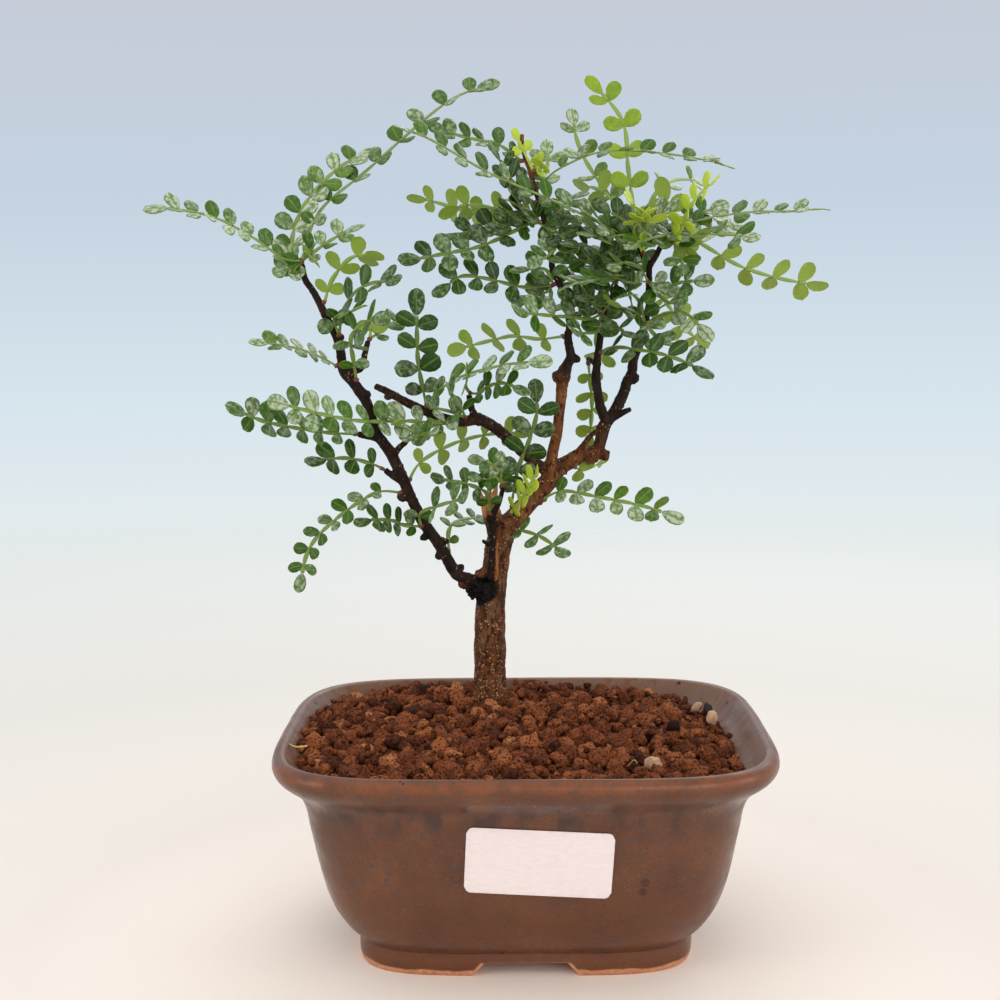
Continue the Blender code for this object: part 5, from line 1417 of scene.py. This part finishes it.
def add_leaflet(shape, root, ahead, up, length, width, tone, sheen, draw):
    """A leaflet: broadest past its middle, a little folded along its midrib, its edge faintly scalloped."""
    t, s = LEAFLET_ALONG, LEAFLET_ACROSS
    ahead = ahead.normalized()
    side = ahead.cross(up).normalized()
    up = side.cross(ahead)
    belly = t ** draw.uniform(1.15, 1.4)
    half = width / 2 * (4 * belly * (1 - belly)) ** 0.5
    rows = np.repeat(np.arange(LEAFLET_ROWS + 1), LEAFLET_COLUMNS)
    scallop = 1 - 0.045 * (rows % 2) * (np.abs(s) > 0.99)
    fold = draw.uniform(0.06, 0.30)
    droop = draw.uniform(-0.02, 0.16)
    twist = draw.uniform(-0.25, 0.25)
    x = length * (t - 0.035 * s**2 * t**6)
    y = half * s * scallop
    z = half * (fold * np.abs(s) - 0.28 * np.abs(s) ** 3) - length * droop * t**2 + y * twist * t
    z += 0.012 * length * np.sin(9 * t + 3 * s + draw.uniform(0, 6))
    thick = LEAFLET_THICK * MM * (1 - 0.55 * s**4)
    rib = 0.16 * MM * np.exp(-((s * half / (0.22 * MM)) ** 2)) * (1 - t)
    flat = np.outer(x, ahead) + np.outer(y, side) + np.array(root)
    points = np.vstack([flat + np.outer(z, up), flat + np.outer(z - thick - rib, up)])
    under = np.repeat([0.0, 1.0], len(t))
    values = {"tone": tone, "sheen": sheen, "across": np.tile(s, 2), "along": np.tile(t, 2), "under": under}
    shape.add(points, LEAFLET_FACES, 0, node=0.0, **values)


def add_stalk(shape, stalk, stations, end, tone):
    """The stalk: slim to the first pair, then winged between the pairs and marked at each of them."""
    runs = np.arange(0, end, 0.55 * MM)
    marks = np.array(stations + [end])
    sides = 8
    angles = np.linspace(0, math.tau, sides, endpoint=False)
    rings, nodes = [], []
    for run in runs:
        point, ahead, side, face = stalk.at(run)
        if run < marks[0]:
            half = 0.36 + 0.18 * (1 - run / marks[0])
        else:
            index = int(np.searchsorted(marks, run, side="right")) - 1
            low, high = marks[index], marks[min(index + 1, len(marks) - 1)]
            share = (run - low) / max(1e-6, high - low)
            half = 0.28 + 0.44 * math.sin(math.pi * min(1.0, share)) ** 0.7
        deep = np.where(np.sin(angles) > 0, 0.16 + 0.08 * np.abs(np.cos(angles)), 0.36)
        ring = np.outer(np.cos(angles) * half, side) + np.outer(np.sin(angles) * deep, face)
        rings.append(np.array(point) + ring * MM)
        nodes.append(max(0.0, 1 - float(np.min(np.abs(marks - run))) / (0.5 * MM)))
    ring = np.arange(sides)
    after = (ring + 1) % sides
    faces = [
        np.stack([low + ring, low + sides + ring, low + sides + after, low + after], axis=1)
        for low in range(0, (len(runs) - 1) * sides, sides)
    ]
    ends = [np.array([ring]), np.array([(len(runs) - 1) * sides + ring[::-1]])]
    shape.add(
        np.concatenate(rings), faces + ends, 1, tone=tone, sheen=0.0, across=0.5, along=0.5, under=0.0,
        node=np.repeat(np.clip(nodes, 0, 1), sides),
    )


def add_leaf(shape, bud, foot, behind, leaf, draw):
    """One compound leaf: its stalk, its pairs of leaflets and the leaflet at its end."""
    pixels, reach, tilt, pairs, size, tone = leaf
    stalk = Stalk(leaf_route(bud, foot, behind, pixels, reach), tilt)
    size *= LEAFLET_GROWN * MM
    centres, end = pair_places(stalk.length, size, pairs)
    light, painted_glare = TONES[tone]
    add_stalk(shape, stalk, centres, end + 0.3 * MM, light)
    for index, centre in enumerate(centres):
        grown = size * (FIRST_PAIR if index == 0 and pairs > 2 else draw.uniform(0.9, 1.08))
        for hand in (1, -1):
            point, ahead, side, face = stalk.at(centre + draw.uniform(-0.35, 0.35) * MM)
            lift = LEAN_UP + draw.uniform(-0.24, 0.24)
            out = (ahead * (LEAN_AHEAD + draw.uniform(-0.2, 0.2)) + side * hand + face * lift).normalized()
            up = face - side * hand * lift * 0.8 + ahead * draw.uniform(-0.35, 0.35)
            wide = grown * LEAFLET_WIDTH * draw.uniform(0.9, 1.1)
            shade = light + draw.uniform(-0.12, 0.12)
            # How strongly painted glare is laid on this leaflet.
            sheen = painted_glare * draw.choice(PAINTED_GLARE_STEPS)
            add_leaflet(shape, point + side * hand * 0.2 * MM, out, up, grown, wide, shade, sheen, draw)
    point, ahead, side, face = stalk.at(end)
    long = size * END_LEAFLET
    wide = long * LEAFLET_WIDTH * END_NARROW
    rolled = face + side * draw.uniform(-0.6, 0.6)
    add_leaflet(shape, point, ahead + face * draw.uniform(-0.15, 0.25), rolled, long, wide, light, painted_glare, draw)


def make_spray(name, spray, looks, slot):
    """All leaves that grow from one bud, with the bud itself."""
    branch, pixel, leaves = spray
    draw = random.Random(name)
    span = len(leaves)
    toward = [sum(leaf[0][0][axis] for leaf in leaves) / span for axis in (0, 1)]
    toward.append(sum(leaf[1] * 0.25 for leaf in leaves) / span)
    bud, foot, behind = seat(branch, pixel, toward)
    shape = Shape()
    points, faces = crumb(draw, 2)
    out = (bud - foot).normalized()
    points = points * BUD * 0.85 * MM
    points = points + np.outer(points @ np.array(out), out) * 0.5 + np.array(bud)
    shape.add(points, [faces], 2, tone=0.5, sheen=0.0, across=0.5, along=0.5, under=0.0, node=0.0)
    for leaf in leaves:
        add_leaf(shape, bud, foot, behind, leaf, draw)
    place(shape.build(name.replace("spray", "leaves") + "_fine", looks), slot, name)


def make_leaves():
    """Every spray, in dark, olive, bright or young green."""
    # Each leaf look: dark, middle and light tops, the underside (brightened as painted glow of backlight) and
    # the midrib.
    green = leaf_look(
        "leaf_green", (0.003, 0.026, 0.0005), (0.044, 0.130, 0.003), (0.24, 0.38, 0.014),
        (0.235, 0.335, 0.042), (0.20, 0.33, 0.06),
    )
    young = leaf_look(
        "leaf_young", (0.17, 0.33, 0.010), (0.31, 0.47, 0.014), (0.43, 0.57, 0.04), (0.42, 0.54, 0.05),
        (0.56, 0.66, 0.08),
    )
    stalk = stalk_look("leaf_stalk", (0.22, 0.35, 0.06), (0.17, 0.06, 0.02))
    fresh = stalk_look("young_stalk", (0.36, 0.50, 0.05), (0.38, 0.17, 0.03))
    bud = bud_look()
    for name, spray in SPRAYS.items():
        if name.startswith("young"):
            make_spray(name, spray, [young, fresh, bud], "leaf_young")
        else:
            make_spray(name, spray, [green, stalk, bud], "leaf_green")


# The stage.


def make_stage():
    """A pale floor, painted brighter near the pot as a painted pool of light that lifts the pot's shadow,
    that fades into the background; soft lights and the photograph's camera.
    """
    bpy.ops.mesh.primitive_circle_add(vertices=96, radius=1.6, fill_type="NGON")
    floor = bpy.context.object
    floor.name = "floor"
    look = Look("floor", 0.75, Specular_IOR_Level=0.2)
    away = look.node("ShaderNodeVectorMath", {0: look.place}, operation="LENGTH").outputs["Value"]
    # The floor's colour is painted lighter close to the pot: a painted pool of light that lifts the pot's
    # shadow on the floor.
    look.colour(look.ramp(
        away, (0.07, (0.97, 0.90, 0.84)), (0.14, (0.80, 0.765, 0.735)), (0.32, (0.72, 0.72, 0.705)),
        (0.60, (0.72, 0.76, 0.765)),
    ))
    look.tree.links.new(look.between(away, 1.15, 0.32), look.shader.inputs["Alpha"])
    floor.data.materials.append(look.material)
    world = bpy.data.worlds.new("studio")
    bpy.context.scene.world = world
    world.use_nodes = True
    tree = world.node_tree
    place_node = tree.nodes.new("ShaderNodeTexCoord")
    split = tree.nodes.new("ShaderNodeSeparateXYZ")
    spread = tree.nodes.new("ShaderNodeMapRange")
    colours = tree.nodes.new("ShaderNodeValToRGB")
    spread.inputs["From Min"].default_value = -0.45
    spread.inputs["From Max"].default_value = 0.6
    fill_ramp(colours, BACKGROUND)
    tree.links.new(place_node.outputs["Generated"], split.inputs["Vector"])
    tree.links.new(split.outputs["Z"], spread.inputs["Value"])
    tree.links.new(spread.outputs["Result"], colours.inputs["Fac"])
    front = tree.nodes.new("ShaderNodeMapRange")
    front.inputs["From Min"].default_value = 0.25
    front.inputs["From Max"].default_value = -0.25
    room = tree.nodes.new("ShaderNodeMix")
    room.data_type = "RGBA"
    room.inputs[7].default_value = (*ROOM, 1)
    tree.links.new(split.outputs["Y"], front.inputs["Value"])
    tree.links.new(front.outputs["Result"], room.inputs[0])
    tree.links.new(colours.outputs["Color"], room.inputs[6])
    tree.links.new(room.outputs[2], tree.nodes["Background"].inputs["Color"])
    for name, where, size, power in LIGHTS:
        data = bpy.data.lights.new(name, "AREA")
        data.shape = "RECTANGLE"
        data.size, data.size_y = size
        data.energy = power
        data.color = (1.0, 0.96, 0.91)
        lamp = bpy.data.objects.new(name, data)
        lamp.location = where
        aim = Vector((0, 0, 0.12)) - Vector(where)
        lamp.rotation_euler = aim.to_track_quat("-Z", "Y").to_euler()
        bpy.context.scene.collection.objects.link(lamp)
    right, above, ahead = camera_axes()
    data = bpy.data.cameras.new("camera")
    data.sensor_width = 36
    data.lens = data.sensor_width * FOCAL / PICTURE_SIDE
    data.clip_start = 0.01
    camera = bpy.data.objects.new("camera", data)
    turn = Matrix((right, above, -ahead)).transposed()
    camera.matrix_world = Matrix.Translation(CAMERA_PLACE * MM) @ turn.to_4x4()
    bpy.context.scene.collection.objects.link(camera)
    bpy.context.scene.camera = camera
    bpy.context.scene.view_settings.view_transform = "Standard"


make_pot()
make_net(net_look())
make_label(paper_look())
make_soil(soil_look(), pebble_look(), straw_look())
make_wood(bark_look())
make_leaves()
make_stage()
